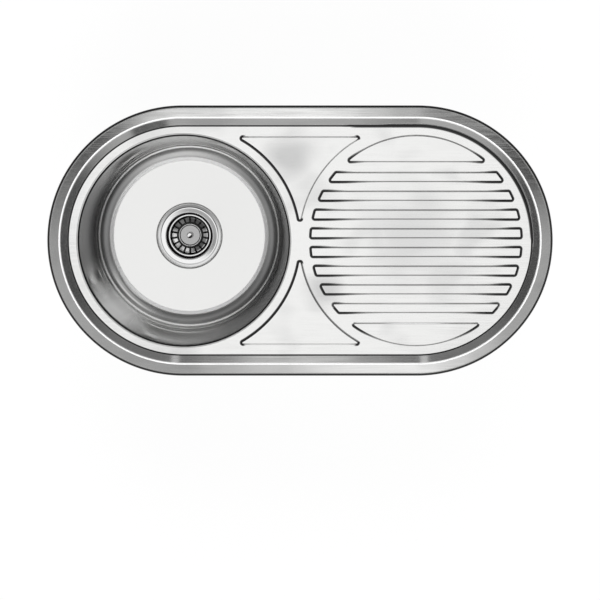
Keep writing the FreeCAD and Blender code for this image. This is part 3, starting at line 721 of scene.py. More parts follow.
def moulded_polypropylene():
    """Injection-moulded polypropylene: warm white, faintly waxy, with a fine spark-eroded grain."""
    look = bpy.context.scene.sink_waste
    material, tree, shader, place = new_material("moulded_white_polypropylene")
    upright = add_node(tree, "ShaderNodeMapping", None, {"Vector": place, "Scale": (1, 1, 0.3)})
    streaks = add_node(tree, "ShaderNodeTexNoise", None, {"Vector": upright, "Scale": grain(18), "Detail": 3})
    flow = add_node(tree, "ShaderNodeMapRange", soft, (streaks, 0.4, 0.7, 0, 1))
    darker = tuple(0.86 * part for part in look.plastic)
    colour = add_node(tree, "ShaderNodeMix", coloured, (flow, look.plastic, darker))
    # The mould's grain is about 0.1 mm on real mouldings, drawn at 0.5 mm so that it shows
    eroded = grained(tree, place, 0.5, 0.02)
    feed(shader, {
        "Base Color": colour, "Metallic": 0, "Roughness": 0.42, "Normal": eroded, "Subsurface Weight": 0.08,
        "Subsurface Scale": 2 * MM})
    return material


def turned_acetal():
    """Machined acetal bush: dense white, slightly glossy, with turning marks."""
    material, tree, shader, place = new_material("turned_white_acetal")
    marks = lathe_marks(tree, place)
    colour = add_node(tree, "ShaderNodeMix", coloured, (marks, linear("D9D9D7"), linear("EDEDEA")))
    turned = add_node(tree, "ShaderNodeBump", None, {"Distance": 0.01 * MM, "Height": marks})
    feed(shader, {"Base Color": colour, "Metallic": 0, "Roughness": 0.3, "Normal": turned})
    return material


def turned_brass():
    """Free-cutting brass, turned and left bare: yellow, dulling to brown in patches."""
    material, tree, shader, place = new_material("turned_cz121_brass")
    patches = add_node(tree, "ShaderNodeTexNoise", None, {"Vector": place, "Scale": grain(3), "Detail": 3})
    tarnish_and_shade = add_node(tree, "ShaderNodeMapRange", soft, (patches, 0.45, 0.7, 0, 1))
    colour = add_node(tree, "ShaderNodeMix", coloured, (tarnish_and_shade, linear("D9B265"), linear("A67F3C")))
    marks = lathe_marks(tree, place)
    turned = add_node(tree, "ShaderNodeBump", None, {"Distance": 0.01 * MM, "Height": marks})
    feed(shader, {"Base Color": colour, "Metallic": 1, "Roughness": 0.28, "Normal": turned})
    return material


def new_geometry_tree(name, sockets, takes_geometry=False):
    """A geometry node tree with named inputs, and the outputs of its input node."""
    tree = bpy.data.node_groups.new(name, "GeometryNodeTree")
    if takes_geometry:
        tree.interface.new_socket("Geometry", in_out="INPUT", socket_type="NodeSocketGeometry")
    tree.interface.new_socket("Geometry", in_out="OUTPUT", socket_type="NodeSocketGeometry")
    for socket, kind in sockets:
        tree.interface.new_socket(socket, in_out="INPUT", socket_type="NodeSocket" + kind)
    return tree, add_node(tree, "NodeGroupInput").outputs


def close_tree(tree, given, geometry):
    """The tree's end: real geometry in one material."""
    whole = add_node(tree, "GeometryNodeRealizeInstances", None, {"Geometry": geometry})
    coated = add_node(tree, "GeometryNodeSetMaterial", None, {"Geometry": whole, "Material": given["Material"]})
    add_node(tree, "NodeGroupOutput", None, {"Geometry": coated})
    return tree


def sweep_tree():
    """Geometry nodes that sweep a profile round a rectangle with half-round ends."""
    tree, given = new_geometry_tree("swept_rim", (
        ("Length", "Float"), ("Width", "Float"), ("Segments", "Int"), ("Profile", "Object"),
        ("Material", "Material")))
    outline = add_node(tree, "GeometryNodeCurvePrimitiveQuadrilateral", None, {
        "Width": given["Length"], "Height": given["Width"]})
    radius = add_node(tree, "ShaderNodeMath", {"operation": "MULTIPLY"}, (given["Width"], 0.5))
    stadium = add_node(tree, "GeometryNodeFilletCurve", {"mode": "POLY"}, {
        "Curve": outline, "Count": given["Segments"], "Radius": radius, "Limit Radius": True})
    even = add_node(tree, "GeometryNodeResampleCurve", {"mode": "COUNT"}, {
        "Curve": stadium, "Count": given["Segments"]})
    upright = add_node(tree, "GeometryNodeSetCurveNormal", {"mode": "Z_UP"}, {"Curve": even})
    profile = add_node(tree, "GeometryNodeObjectInfo", None, {"Object": given["Profile"]}).outputs["Geometry"]
    swept = add_node(tree, "GeometryNodeCurveToMesh", None, {"Curve": upright, "Profile Curve": profile})
    return close_tree(tree, given, swept)


def thread_tree():
    """Geometry nodes that wind a ridge with a right-angled crest about an upright axis."""
    tree, given = new_geometry_tree("wound_thread", (
        ("Crest Radius", "Float"), ("Depth", "Float"), ("Pitch", "Float"), ("Turns", "Float"), ("Segments", "Int"),
        ("Material", "Material")))
    core = add_node(tree, "ShaderNodeMath", {"operation": "SUBTRACT"}, (given["Crest Radius"], given["Depth"]))
    height = add_node(tree, "ShaderNodeMath", {"operation": "MULTIPLY"}, (given["Pitch"], given["Turns"]))
    spiral = add_node(tree, "GeometryNodeCurveSpiral", None, {
        "Resolution": given["Segments"], "Rotations": given["Turns"], "Start Radius": core, "End Radius": core,
        "Height": height})
    upright = add_node(tree, "GeometryNodeSetCurveNormal", {"mode": "Z_UP"}, {"Curve": spiral})
    section = add_node(tree, "GeometryNodeCurvePrimitiveCircle", {"mode": "RADIUS"}, {
        "Resolution": 4, "Radius": given["Depth"]})
    ridge = add_node(tree, "GeometryNodeCurveToMesh", None, {
        "Curve": upright, "Profile Curve": section, "Fill Caps": True})
    return close_tree(tree, given, ridge)


def weld_tree():
    """Geometry nodes that set a flat lens-shaped nugget on each point."""
    tree, given = new_geometry_tree("spot_welds", (("Radius", "Float"), ("Material", "Material")), True)
    nugget = add_node(tree, "GeometryNodeMeshUVSphere", None, {
        "Segments": weld_segments, "Rings": weld_rings, "Radius": given["Radius"]})
    flat = add_node(tree, "GeometryNodeTransform", None, {"Geometry": nugget, "Scale": (1, 1, weld_flatness)})
    placed = add_node(tree, "GeometryNodeInstanceOnPoints", None, {"Points": given["Geometry"], "Instance": flat})
    return close_tree(tree, given, placed)


def grown(tree, inputs, base=None):
    """Mesh that a geometry node tree makes, with its inputs given by name."""
    carrier = bpy.data.objects.new(tree.name, base or bpy.data.meshes.new(tree.name))
    bpy.context.scene.collection.objects.link(carrier)
    modifier = carrier.modifiers.new(tree.name, "NODES")
    modifier.node_group = tree
    for item in tree.interface.items_tree:
        if item.in_out == "INPUT" and item.name in inputs:
            modifier[item.identifier] = inputs[item.name]
    evaluated = carrier.evaluated_get(bpy.context.evaluated_depsgraph_get())
    mesh = bpy.data.meshes.new_from_object(evaluated)
    carrier.modifiers.remove(modifier)
    bpy.data.objects.remove(carrier)
    return mesh


def profile_curve(points):
    """Open curve through (x, y) points, as a profile to sweep."""
    curve = bpy.data.curves.new("rim_profile", "CURVE")
    spline = curve.splines.new("POLY")
    spline.points.add(len(points) - 1)
    for slot, (x, y) in zip(spline.points, points):
        slot.co = (x * MM, y * MM, 0, 1)
    profile = bpy.data.objects.new("rim_profile", curve)
    bpy.context.scene.collection.objects.link(profile)
    return profile


def rim_section():
    """Top face of the rim from the edge on the worktop to the deck."""
    return rounded_path([
        (end_radius, 0, 0),
        (end_radius, edge_height, edge_bend),
        (end_radius - band_width, ridge_height, ridge_bend),
        (foot_radius, deck_level, step_bend),
        (foot_radius - rim_lap, deck_level, 0),
    ])


def slice_outline(low, high, inset):
    """Outline, anticlockwise, of a slice of the drainer's circle; a side that is None is left to the circle."""
    if low is None:
        return [(x, -y) for x, y in reversed(slice_outline(-high, None, inset))]
    reach = drainer_radius - press_corner
    radius = drainer_radius - inset
    corner = press_corner - inset
    turn = math.asin((low + press_corner) / reach)
    half = arc_points(reach * math.cos(turn), low + press_corner, corner, -math.pi / 2, turn, corner_steps)
    if high is None:
        half += arc_points(0, 0, radius, turn, math.pi / 2, segment_side_steps)[1:]
        mirrored = half[-2::-1]
    else:
        top = high - press_corner
        upper = math.asin(top / reach)
        half += arc_points(0, 0, radius, turn, upper, bar_side_steps)[1:]
        half += arc_points(reach * math.cos(upper), top, corner, upper, math.pi / 2, corner_steps)[1:]
        mirrored = half[::-1]
    return [(x + drainer_x, y) for x, y in half + [(-x, y) for x, y in mirrored]]


def waisted_outline(side, inset):
    """Outline, anticlockwise, of the panel behind (side 1) or in front of (side -1) the waist."""
    edge = foot_radius - panel_edge_land
    halves = []
    for middle, land, sign in ((bowl_x, mouth_radius + panel_bowl_land, 1),
                               (drainer_x, drainer_radius + panel_drainer_land, -1)):
        high_y, low_y = edge - press_corner, panel_tip + tip_corner
        high_x = math.sqrt((land + press_corner) ** 2 - high_y**2)
        low_x = math.sqrt((land + tip_corner) ** 2 - low_y**2)
        high_turn, low_turn = math.atan2(high_y, high_x), math.atan2(low_y, low_x)
        half = arc_points(high_x, high_y, press_corner - inset, math.pi / 2, math.pi + high_turn, panel_corner_steps)
        half += arc_points(0, 0, land + inset, high_turn, low_turn, panel_side_steps)[1:]
        half += arc_points(low_x, low_y, tip_corner - inset, math.pi + low_turn, math.pi * 3 / 2,
                           panel_corner_steps)[1:]
        halves.append([(middle + sign * x, y) for x, y in half])
    points = halves[0] + halves[1][::-1]
    if side < 0:
        points = [(x, -y) for x, y in reversed(points)]
    return points


def panel_shade(side, x, y):
    """Painted shade of a waisted panel's edge: painted dark beside the bowl and at its corners, painted light along
    the rim and, behind the waist, beside the drainer."""
    inwards = foot_radius - panel_edge_land - abs(y)
    if inwards < press_corner:
        corner = smooth_step(abs(x - panel_middle) - panel_reach, *panel_corner_dark)
        return panel_rim_shade + (1 - panel_rim_shade) * corner
    if x < panel_middle:
        return 1
    hook = 1 - smooth_step(inwards, *panel_hook_dark)
    tip = 1 - smooth_step(abs(y) - panel_tip, *panel_tip_dark)
    return max(hook, tip, panel_drainer_shade[side])


def slice_shade(low, high, x, y):
    """Painted shade of a bar's or segment's edge: dark at its ends and paler along its middle, with painted light on
    the rear side of those nearest the front."""
    if low is None:
        level = high
        middle = front_shade if y < high - press_corner else front_segment_rear_shade
    elif high is None:
        level, middle = low, rear_shade
    else:
        level = (low + high) / 2
        rear = front_bars_rear_shade if high < -drainer_radius / 2 else rear_shade
        middle = rear if y > level else front_shade
    half = math.sqrt(drainer_radius**2 - level**2)
    ends = end_shade * smooth_step(abs(x - drainer_x) / half, end_from, 1)
    return middle + (1 - middle) * ends


def press_outlines():
    """For each raised outline on the deck, a function of the inset and one of the edge's painted shade."""
    outlines = []
    for side in (1, -1):
        outlines.append((lambda inset, side=side: waisted_outline(side, inset),
                         lambda x, y, side=side: panel_shade(side, x, y)))
    slices = []
    for i in range(bar_count):
        low = bar_shift + (i - (bar_count - 1) / 2) * bar_pitch - bar_width / 2
        slices.append((low, low + bar_width))
    flat = (bar_count - 1) / 2 * bar_pitch + bar_width / 2 + segment_gap
    slices += [(bar_shift + flat, None), (None, bar_shift - flat)]
    for low, high in slices:
        outlines.append((lambda inset, low=low, high=high: slice_outline(low, high, inset),
                         lambda x, y, low=low, high=high: slice_shade(low, high, x, y)))
    return outlines


def add_ring(bm, points, z):
    """Vertices of one ring at a height."""
    return [bm.verts.new((x * MM, y * MM, z * MM)) for x, y in points]


def join_rings(bm, outer, inner):
    """Quads between two rings of as many points."""
    for i in range(len(outer)):
        j = (i + 1) % len(outer)
        bm.faces.new((outer[i], outer[j], inner[j], inner[i]))


def winds_round(ring, point):
    """Whether a closed ring of vertices goes round a point, seen from above."""
    inside = False
    for i, vert in enumerate(ring):
        start, end = ring[i - 1].co, vert.co
        if (start.y > point.y) != (end.y > point.y):
            cross = start.x + (point.y - start.y) / (end.y - start.y) * (end.x - start.x)
            inside ^= cross > point.x
    return inside


def fill_between(bm, rings):
    """Flat triangles, facing up, that fill the first ring of vertices but for the others, which lie within it."""
    verts = [vert for ring in rings for vert in ring]
    owner = [number for number, ring in enumerate(rings) for _ in ring]
    edges = []
    start = 0
    for ring in rings:
        edges += [(start + i, start + (i + 1) % len(ring)) for i in range(len(ring))]
        start += len(ring)
    places, _, faces, origins, _, _ = delaunay_2d_cdt([vert.co.xy for vert in verts], edges, [], 0, same_place * MM)
    for face in faces:
        corners = [origins[i][0] for i in face]
        owners = {owner[i] for i in corners}
        middle = sum((places[i] for i in face), Vector((0, 0))) / len(face)
        own = owners.pop()
        if owners or winds_round(rings[own], middle) == (own == 0):
            cover = bm.faces.new([verts[i] for i in corners])
            cover.normal_update()
            if cover.normal.z < 0:
                cover.normal_flip()


def boundary_ring(edges):
    """Vertices in order round a closed run of boundary edges."""
    left = set(edges)
    edge = left.pop()
    ring = [edge.verts[0], edge.verts[1]]
    while left:
        edge = next(e for e in ring[-1].link_edges if e in left)
        left.remove(edge)
        ring.append(edge.other_vert(ring[-1]))
    return ring[:-1]


def line_at(value, middle, reach):
    """Share that is 1 within reach of a middle and fades out just past it."""
    return 1 - smooth_step(abs(value - middle), reach, reach + support)


def rim_shade(place):
    """Painted shade of the rim: painted dark along its rolled edge and the foot of the step, a painted highlight along
    the ridge.
    """
    x, y = place.x / MM, place.y / MM
    away = math.hypot(max(abs(x) - end_centre, 0), y)
    edge = smooth_step(away - end_radius, *dark_edge)
    (left, front), (right, rear) = gain_corners
    rear_right = smooth_step(x, left, right) * smooth_step(y, front, rear)
    foot = line_at(away, foot_radius, foot_line + foot_gain * rear_right)
    ridge = line_at(away, end_radius - band_width, ridge_line)
    return max(edge, foot) - ridge


def swept_rim(bm, material):
    """Rim swept round the sink into the bmesh."""
    look = bpy.context.scene.sink_sheet
    profile = profile_curve([(point.x - end_radius, -point.y) for point in rim_section()])
    rim = grown(sweep_tree(), {
        "Length": sink_length * MM, "Width": sink_width * MM, "Segments": look.rim_segments,
        "Profile": profile, "Material": material})
    bpy.data.objects.remove(profile)
    bm.from_mesh(rim)
    bmesh.ops.remove_doubles(bm, verts=bm.verts, dist=rim_merge_reach * MM)
    if sum(face.normal.z * face.calc_area() for face in bm.faces) < 0:
        bmesh.ops.reverse_faces(bm, faces=bm.faces)


def press_edge(bm, shade, outline, darkness):
    """One raised outline: a flat margin, its rounded wall and its flat top; its outermost ring is returned."""
    steps = [(-press_lead - support - (2 - i) * dark_margin, 0, least) for i, least in enumerate(lead_darkness)]
    for i in range(press_steps + 1):
        share = i / press_steps
        steps.append((share * press_width - press_lead, (1 - math.cos(math.pi * share)) / 2, wall_darkness))
    steps.append((press_width - press_lead + support, 1, top_darkness))
    whole = outline(0)
    counts = run_counts(whole + whole[:1], edge_spacing)
    rings = []
    for inset, rise, least in steps:
        points = outline(inset)
        points = divided(points + points[:1], counts)[:-1]
        ring = add_ring(bm, points, deck_level + rise * press_height)
        for vert, (x, y) in zip(ring, points):
            # Painted shade and light along the edge, kept per vertex
            dark = darkness(x, y)
            wide = smooth_step(dark, *whole_wall_dark)
            reached = smooth_step(dark, least, least + darkness_fade)
            vert[shade] = dark * max(wide, math.sin(math.pi * rise)) * reached
        rings.append(ring)
    for outer, after in zip(rings, rings[1:]):
        join_rings(bm, outer, after)
    fill_between(bm, [rings[-1]])
    return rings[0]


def make_deck():
    """Pressed sheet: the swept rim, the flat deck and every raised outline, with the sheet's thickness."""
    look = bpy.context.scene.sink_sheet
    material = satin_sheet()
    bm = bmesh.new()
    swept_rim(bm, material)
    shade = bm.verts.layers.float.new("press_shade")
    # Painted shade and highlight of the rim, kept per vertex
    for vert in bm.verts:
        vert[shade] = rim_shade(vert.co)
    borders = [boundary_ring([edge for edge in bm.edges if edge.is_boundary and edge.verts[0].co.z < 0])]
    for outline, darkness in press_outlines():
        borders.append(press_edge(bm, shade, outline, darkness))
    borders.append(add_ring(bm, circle_points(bowl_x, 0, mouth_radius, look.round_segments), deck_level))
    fill_between(bm, borders)
    deck = put_mesh("deck_sheet", mesh_of(bm, "deck_sheet", material), "sink", "stainless_sheet", "top_deck")
    solid = deck.modifiers.new("sheet", "SOLIDIFY")
    solid.thickness = sheet * MM
    solid.offset = -1


def bowl_section():
    """Inner face of the bowl from its mouth to the drain hole."""
    lip = mouth_radius - mouth_lip
    heel = lip - bowl_depth * math.tan(math.radians(bowl_draft))
    floor = deck_level - bowl_depth
    return rounded_path([
        (mouth_radius, deck_level, 0),
        (lip, deck_level, mouth_bend),
        (heel, floor, bowl_bend),
        (recess_radius, floor - floor_fall, recess_bend),
        (recess_radius - recess_slope, seat_level, recess_bend),
        (drain_hole_radius, seat_level, 0),
    ])


def bowl_shade(radius, z, angle):
    """Painted shade of the bowl: 1 for the painted dark line round the lip, a half for the painted shade down the wall
    but for its parts with painted light at the rear and front left, and below 0 for painted highlights at the floor's
    edge and in a ring in the heel."""
    depth = deck_level - z
    past_floor = radius - heel_start
    lip = line_at(depth, lip_depth, lip_line)
    above = smooth_step(past_floor, 0, heel_fade)
    # Painted highlight at the floor's edge
    buffing_and_highlight = smooth_step(past_floor, *floor_highlight_from) - smooth_step(past_floor, *floor_highlight_to)
    wall = wall_shade * above * smooth_step(depth, lip_depth, 2 * lip_depth) - buffing_and_highlight
    upright = above * smooth_step(depth, *pale_top) * (1 - pale_loss * smooth_step(depth, *pale_bottom))
    for middle, reach, amount in pale_parts:
        off = abs((math.degrees(angle) - middle + 180) % 360 - 180)
        wall -= amount * upright * (1 - smooth_step(off, 0, reach))
    ring = line_at(radius, heel_highlight, heel_highlight_line) if depth > bowl_depth / 2 else 0
    return (max(lip, wall) if lip or ring else wall) - ring


def make_bowl():
    """Deep-drawn bowl as a turned sheet."""
    look = bpy.context.scene.sink_sheet
    inside = bowl_section()
    outline = inside + offset_points(inside, sheet)[::-1]
    bm = bmesh.new()
    shade = bm.verts.layers.float.new("press_shade")
    rings = []
    for number, (radius, z) in enumerate(outline):
        ring = add_ring(bm, circle_points(bowl_x, 0, radius, look.round_segments), z)
        # Painted shade and light on the inside face, kept per vertex
        for i, vert in enumerate(ring):
            angle = 2 * math.pi * i / len(ring)
            vert[shade] = bowl_shade(radius, z, angle) if number < len(inside) else back_shade
        rings.append(ring)
    for outer, after in zip(rings, rings[1:] + rings[:1]):
        join_rings(bm, outer, after)
    bmesh.ops.recalc_face_normals(bm, faces=bm.faces)
    put_mesh("bowl_shell", mesh_of(bm, "bowl_shell", drawn_steel()), "sink", "stainless_sheet", "bowl")


def merged_node(name):
    """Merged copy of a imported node's mesh."""
    bm = bmesh.new()
    bm.from_mesh(frame["nodes"][name].data)
    bmesh.ops.remove_doubles(bm, verts=bm.verts, dist=merge_reach * MM)
    return bm


def thin_shank(bm, x, y, radius, core, low, high):
    """Draw the vertices of a plain shank in to the thread's core."""
    for vert in bm.verts:
        arm = Vector((vert.co.x / MM - x, vert.co.y / MM - y))
        if abs(arm.length - radius) < shank_tolerance and low < vert.co.z / MM < high:
            arm *= core / arm.length
            vert.co.xy = ((x + arm.x) * MM, (y + arm.y) * MM)


def add_at(bm, mesh, x, y, z):
    """A mesh put into a bmesh at a place."""
    moved = mesh.copy()
    moved.transform(Matrix.Translation(Vector((x, y, z)) * MM))
    bm.from_mesh(moved)
    bpy.data.meshes.remove(moved)


def make_waste_body():
    """Moulded waste body with a pipe thread on its outlet."""
    look = bpy.context.scene.sink_waste
    material = moulded_polypropylene()
    crest, length = outlet["r_mm"], outlet["length_mm"]
    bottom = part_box("waste_body")[0].z / MM
    pitch = look.pitch / MM
    depth = pitch / 2
    bm = merged_node("waste_body")
    thin_shank(bm, bowl_x, 0, crest, crest - depth, bottom - shank_margin, bottom + length + shank_margin)
    ridge = grown(thread_tree(), {
        "Crest Radius": crest * MM, "Depth": depth * MM, "Pitch": pitch * MM,
        "Turns": float(math.floor((length - 2 * depth) / pitch)), "Segments": outlet_thread_steps,
        "Material": material})
    add_at(bm, ridge, bowl_x, 0, bottom + depth)
    put_mesh("waste_body_moulding", mesh_of(bm, "waste_body_moulding", material), "sink", "body_plastic",
             "waste_body")


def clip_axis(number):
    """Place of a clip's screw axis, its bottom and top, and the direction from it to the rim's edge."""
    low, high = (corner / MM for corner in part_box(f"clip_screw_{number}"))
    x, y = (low.x + high.x) / 2, (low.y + high.y) / 2
    over_end = max(0, abs(x) - end_centre)
    return x, y, low.z, high.z, Vector((math.copysign(over_end, x), y)).normalized()


def make_clips():
    """Clip screws with wound threads, spot welds on the hangers, and zinc on every clip piece."""
    look = bpy.context.scene.sink_underside
    material = zinc_plate()
    coat(material, "clip_brackets", *[f"clip_claw_{number}" for number in clip_numbers])
    pitch = look.pitch / MM
    _, _, low, high, _ = clip_axis(1)
    length = high - low - screw_head_height - screw_neck - screw_point
    ridge = grown(thread_tree(), {
        "Crest Radius": screw_radius * MM, "Depth": (screw_radius - screw_core) * MM, "Pitch": pitch * MM,
        "Turns": float(math.floor(length / pitch)), "Segments": screw_thread_steps, "Material": material})
    spots = bmesh.new()
    for number in clip_numbers:
        x, y, low, high, outward = clip_axis(number)
        name = f"clip_screw_{number}"
        bm = merged_node(name)
        thin_shank(bm, x, y, screw_radius, screw_core, low + screw_head_height - shank_margin, high)
        add_at(bm, ridge, x, y, low + screw_head_height + screw_neck)
        put_mesh(f"threaded_{name}", mesh_of(bm, f"threaded_{name}", material), name, "zinc_steel", name)
        foot = Vector((x, y)) - outward * weld_inset
        along = Vector((-outward.y, outward.x)) * weld_gap / 2
        for spot in (foot + along, foot - along):
            spots.verts.new(Vector((spot.x, spot.y, deck_level - sheet - hanger_sheet)) * MM)
    points = bpy.data.meshes.new("weld_places")
    spots.to_mesh(points)
    spots.free()
    welds = grown(weld_tree(), {"Radius": look.weld_radius, "Material": material}, points)
    bm = bmesh.new()
    bm.from_mesh(welds)
    put_mesh("hanger_spot_welds", mesh_of(bm, "hanger_spot_welds", material), "sink", "zinc_steel")


def make_world():
    """Soft studio, as the steel mirrors it: a white sheet of light overhead with a dark card before it and two
    smaller sheets beside it, a bright belt and horizon low down, and between them grey sides, darkest behind."""
    look = bpy.context.scene.sink_studio
    world = bpy.data.worlds.new("soft_studio")
    bpy.context.scene.world = world
    world.use_nodes = True
    tree = world.node_tree
    # The tilt is the sine of the angle from straight up, and the heading a direction on the level
    way = add_node(tree, "ShaderNodeTexCoord").outputs["Generated"]
    upward = add_node(tree, "ShaderNodeSeparateXYZ", None, [way]).outputs["Z"]
    level = add_node(tree, "ShaderNodeVectorMath", {"operation": "MULTIPLY"}, (way, (1, 1, 0)))
    tilt = add_node(tree, "ShaderNodeVectorMath", {"operation": "LENGTH"}, [level])
    heading = add_node(tree, "ShaderNodeVectorMath", {"operation": "NORMALIZE"}, [level])
    sideways, depthwise, _ = add_node(tree, "ShaderNodeSeparateXYZ", None, [heading]).outputs
    # High sides, which the outer band mirrors
    skewed = add_node(tree, "ShaderNodeMath", {"operation": "MULTIPLY_ADD"}, (sideways, sides_skew, 1))
    turned = add_node(tree, "ShaderNodeMath", {"operation": "MULTIPLY"}, (depthwise, skewed))
    near = add_node(tree, "ShaderNodeMapRange", soft, (turned, *high_sides))
    # Low sides, which the step mirrors, with their cards, one bright and one dark
    far = add_node(tree, "ShaderNodeMapRange", soft, (depthwise, *low_sides_front))
    behind = add_node(tree, "ShaderNodeMapRange", soft, (depthwise, *low_sides_rear))
    far = add_node(tree, "ShaderNodeMath", {"operation": "ADD"}, (far, behind))
    for spot, edge in low_cards:
        away = add_node(tree, "ShaderNodeVectorMath", {"operation": "DISTANCE"}, (heading, spot))
        card = add_node(tree, "ShaderNodeMapRange", soft, (away, *edge))
        far = add_node(tree, "ShaderNodeMath", {"operation": "ADD"}, (far, card))
    lower = add_node(tree, "ShaderNodeMapRange", soft, (tilt, *high_to_low))
    sides = add_node(tree, "ShaderNodeMix", {"data_type": "FLOAT"}, (lower, near, far))
    # Bright belt and horizon, which the deck mirrors when it is seen from the side
    rise = add_node(tree, "ShaderNodeMapRange", soft, (tilt, *belt_rise))
    fall = add_node(tree, "ShaderNodeMapRange", soft, (tilt, *belt_fall))
    belt = add_node(tree, "ShaderNodeMath", {"operation": "MULTIPLY"}, (rise, fall))
    across = add_node(tree, "ShaderNodeMath", {"operation": "MULTIPLY"}, (sideways, sideways))
    lowered = add_node(tree, "ShaderNodeMath", {"operation": "MULTIPLY_ADD"}, (across, horizon_sag, tilt))
    horizon = add_node(tree, "ShaderNodeMapRange", soft, (lowered, *horizon_rise))
    belt = add_node(tree, "ShaderNodeMath", {"operation": "MAXIMUM"}, (belt, horizon))
    front = add_node(tree, "ShaderNodeMapRange", soft, (depthwise, *belt_depthwise))
    bottom = add_node(tree, "ShaderNodeMapRange", soft, (tilt, *belt_bottom))
    pale = add_node(tree, "ShaderNodeMath", {"operation": "MAXIMUM"}, (front, bottom))
    around = add_node(tree, "ShaderNodeMix", {"data_type": "FLOAT"}, (belt, sides, pale))
    # Overhead sheets, with the dark card cut out of the main one
    main_sheet = add_node(tree, "ShaderNodeMapRange", soft, (tilt, *sheet_edge))
    away = add_node(tree, "ShaderNodeVectorMath", {"operation": "DISTANCE"}, (way, dark_card_place))
    uncovered = add_node(tree, "ShaderNodeMapRange", soft, (away, *dark_card_edge))
    bright = add_node(tree, "ShaderNodeMath", {"operation": "MULTIPLY"}, (main_sheet, uncovered))
    for centre, edge in small_sheets:
        away = add_node(tree, "ShaderNodeVectorMath", {"operation": "DISTANCE"}, (way, centre))
        small = add_node(tree, "ShaderNodeMapRange", soft, (away, *edge))
        bright = add_node(tree, "ShaderNodeMath", {"operation": "MAXIMUM"}, (bright, small))
    above = add_node(tree, "ShaderNodeMath", {"operation": "GREATER_THAN"}, (upward, 0))
    sheets = add_node(tree, "ShaderNodeMath", {"operation": "MULTIPLY"}, (bright, above))
    light = add_node(tree, "ShaderNodeMix", {"data_type": "FLOAT"}, (sheets, around, look.overhead))
    feed(tree.nodes["Background"], {"Color": linear("FFFFFF"), "Strength": light})


def make_lamps():
    """Two soft lamps in front and behind that light what isn't metal."""
    look = bpy.context.scene.sink_studio
    for side in (1, -1):
        data = bpy.data.lights.new(f"soft_lamp_{side}", "SUN")
        data.energy = look.lamps
        data.angle = math.radians(lamp_angle)
        lamp = bpy.data.objects.new(data.name, data)
        lamp.rotation_euler = (math.radians(side * lamp_tilt), 0, 0)
        lamp.visible_glossy = False
        bpy.context.scene.collection.objects.link(lamp)


def floor_finish():
    """White paper sweep: white to the camera and in metal and glass, with a part of the soft shadow, and clear
    from below."""
    look = bpy.context.scene.sink_studio
    material, tree, shader, _ = new_material("white_paper_sweep")
    feed(shader, {"Base Color": look.floor, "Metallic": 0, "Roughness": 0.9, "Specular IOR Level": 0})
    path = add_node(tree, "ShaderNodeLightPath").outputs
    seen = path["Is Camera Ray"]
    for ray in ("Is Glossy Ray", "Is Transmission Ray"):
        seen = add_node(tree, "ShaderNodeMath", {"operation": "MAXIMUM"}, (seen, path[ray]))
    share = add_node(tree, "ShaderNodeMath", {"operation": "MULTIPLY"}, (seen, floor_glow))
    glow = add_node(tree, "ShaderNodeEmission", None, {"Strength": 1})
    lit = add_node(tree, "ShaderNodeMixShader", None, (share, shader, glow))
    under = add_node(tree, "ShaderNodeNewGeometry").outputs["Backfacing"]
    clear = add_node(tree, "ShaderNodeBsdfTransparent")
    whole = add_node(tree, "ShaderNodeMixShader", None, (under, lit, clear))
    feed(tree.nodes["Material Output"], {"Surface": whole})
    return material


def make_floor():
    """Plain white floor under the sink."""
    bm = bmesh.new()
    bm.faces.new(add_ring(bm, circle_points(0, 0, floor_reach, floor_steps), sink_low))
    floor = bpy.data.objects.new("studio_floor", mesh_of(bm, "studio_floor", floor_finish()))
    bpy.context.scene.collection.objects.link(floor)


def make_camera():
    """Camera almost straight above, a little behind the middle, as in the photograph."""
    data = bpy.data.cameras.new("photo_view")
    data.sensor_width = sensor
    data.lens = sensor / (sink_length * frame_pixels / sink_pixels_wide) * camera_height
    data.shift_y = (sink_centre_pixel_y - frame_pixels / 2) / frame_pixels
    data.clip_end = camera_reach * MM
    camera = bpy.data.objects.new("photo_view", data)
    bpy.context.scene.collection.objects.link(camera)
    camera.location = Vector((0, camera_foot_y, camera_height)) * MM
    camera.rotation_euler = (-math.atan2(camera_foot_y, camera_height), 0, 0)
    bpy.context.scene.camera = camera


class SINK_OT_deck(bpy.types.Operator):
    """Make the pressed deck with its rim, drainer bars and waisted panels"""
    bl_idname = "sink.deck"
    bl_label = "Pressed deck"

    def execute(self, context):
        make_deck()
        return {"FINISHED"}


class SINK_OT_bowl(bpy.types.Operator):
    """Make the deep-drawn bowl"""
    bl_idname = "sink.bowl"
    bl_label = "Drawn bowl"

    def execute(self, context):
        make_bowl()
        return {"FINISHED"}


class SINK_OT_strainer(bpy.types.Operator):
    """Finish the strainer dish, the basket and what hangs in it"""
    bl_idname = "sink.strainer"
    bl_label = "Basket strainer"

    def execute(self, context):
        coat(dish_steel(), "strainer_dish")
        coat(basket_steel(), "basket")
        coat(turned_cap(), "basket_cap")
        coat(knob_steel(), "knob")
        coat(polished_steel(), "post", "centre_screw", "stopper_nut")
        coat(turned_acetal(), "post_bush")
        coat(turned_brass(), "screw_insert")
        return {"FINISHED"}


class SINK_OT_waste_body(bpy.types.Operator):
    """Make the moulded waste body with its threaded outlet"""
    bl_idname = "sink.waste_body"
    bl_label = "Waste body"

    def execute(self, context):
        make_waste_body()
        return {"FINISHED"}


class SINK_OT_seals(bpy.types.Operator):
    """Finish the rubber seals, the stopper and the foam strip under the rim"""
    bl_idname = "sink.seals"
    bl_label = "Seals"

    def execute(self, context):
        coat(moulded_rubber(), "flange_seal", "body_seal", "stopper")
        coat(foam_strip(), "rim_seal")
        return {"FINISHED"}


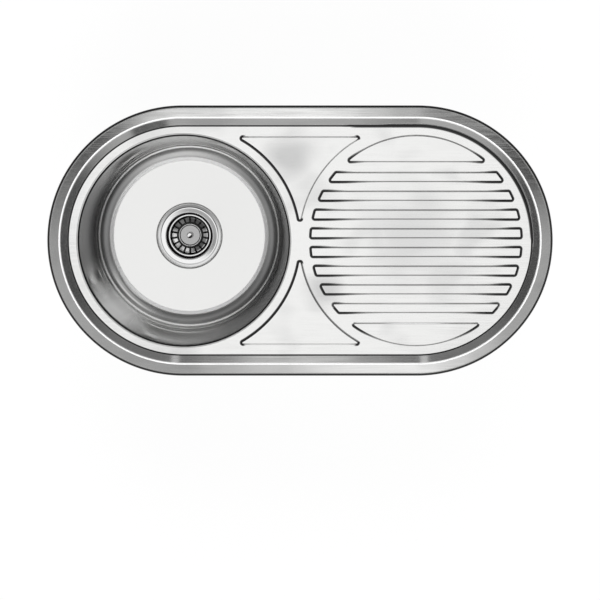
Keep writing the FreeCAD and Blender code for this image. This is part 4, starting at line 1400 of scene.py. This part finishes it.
class SINK_OT_pads(bpy.types.Operator):
    """Finish the sound-deadening pads"""
    bl_idname = "sink.pads"
    bl_label = "Deadening pads"

    def execute(self, context):
        coat(bitumen_sheet(), "drainer_pad", "bowl_pad")
        return {"FINISHED"}


class SINK_OT_clips(bpy.types.Operator):
    """Make the threaded clip screws and spot welds, and finish the clips"""
    bl_idname = "sink.clips"
    bl_label = "Fixing clips"

    def execute(self, context):
        make_clips()
        return {"FINISHED"}


class SINK_OT_stage(bpy.types.Operator):
    """Make the studio: light, lamps, floor and camera"""
    bl_idname = "sink.stage"
    bl_label = "Studio"

    def execute(self, context):
        make_world()
        make_lamps()
        make_floor()
        make_camera()
        context.scene.view_settings.view_transform = "Standard"
        return {"FINISHED"}


operators = (SINK_OT_deck, SINK_OT_bowl, SINK_OT_strainer, SINK_OT_waste_body, SINK_OT_seals, SINK_OT_pads,
             SINK_OT_clips, SINK_OT_stage)
groups = {"sink_sheet": SinkSheet, "sink_waste": SinkWaste, "sink_underside": SinkUnderside,
          "sink_studio": SinkStudio}


class SINK_PT_panel(bpy.types.Panel):
    """Sizes, colours and making steps of the sink"""
    bl_idname = "SINK_PT_panel"
    bl_label = "Inset sink"
    bl_space_type = "VIEW_3D"
    bl_region_type = "UI"
    bl_category = "Sink"

    def draw(self, context):
        for name, group in groups.items():
            box = self.layout.box()
            for field in group.__annotations__:
                box.prop(getattr(context.scene, name), field)
        for operator in operators:
            self.layout.operator(operator.bl_idname)


def register():
    """Add the property groups, operators and panel."""
    for name, group in groups.items():
        bpy.utils.register_class(group)
        setattr(bpy.types.Scene, name, PointerProperty(type=group))
    for item in (*operators, SINK_PT_panel):
        bpy.utils.register_class(item)


def unregister():
    """Take them away again, last first."""
    for item in reversed((*operators, SINK_PT_panel)):
        bpy.utils.unregister_class(item)
    for name, group in reversed(groups.items()):
        delattr(bpy.types.Scene, name)
        bpy.utils.unregister_class(group)


def main():
    """Make every piece and the stage."""
    register()
    bpy.ops.sink.deck()
    bpy.ops.sink.bowl()
    bpy.ops.sink.strainer()
    bpy.ops.sink.waste_body()
    bpy.ops.sink.seals()
    bpy.ops.sink.pads()
    bpy.ops.sink.clips()
    bpy.ops.sink.stage()


if __name__ == "__main__":
    main()
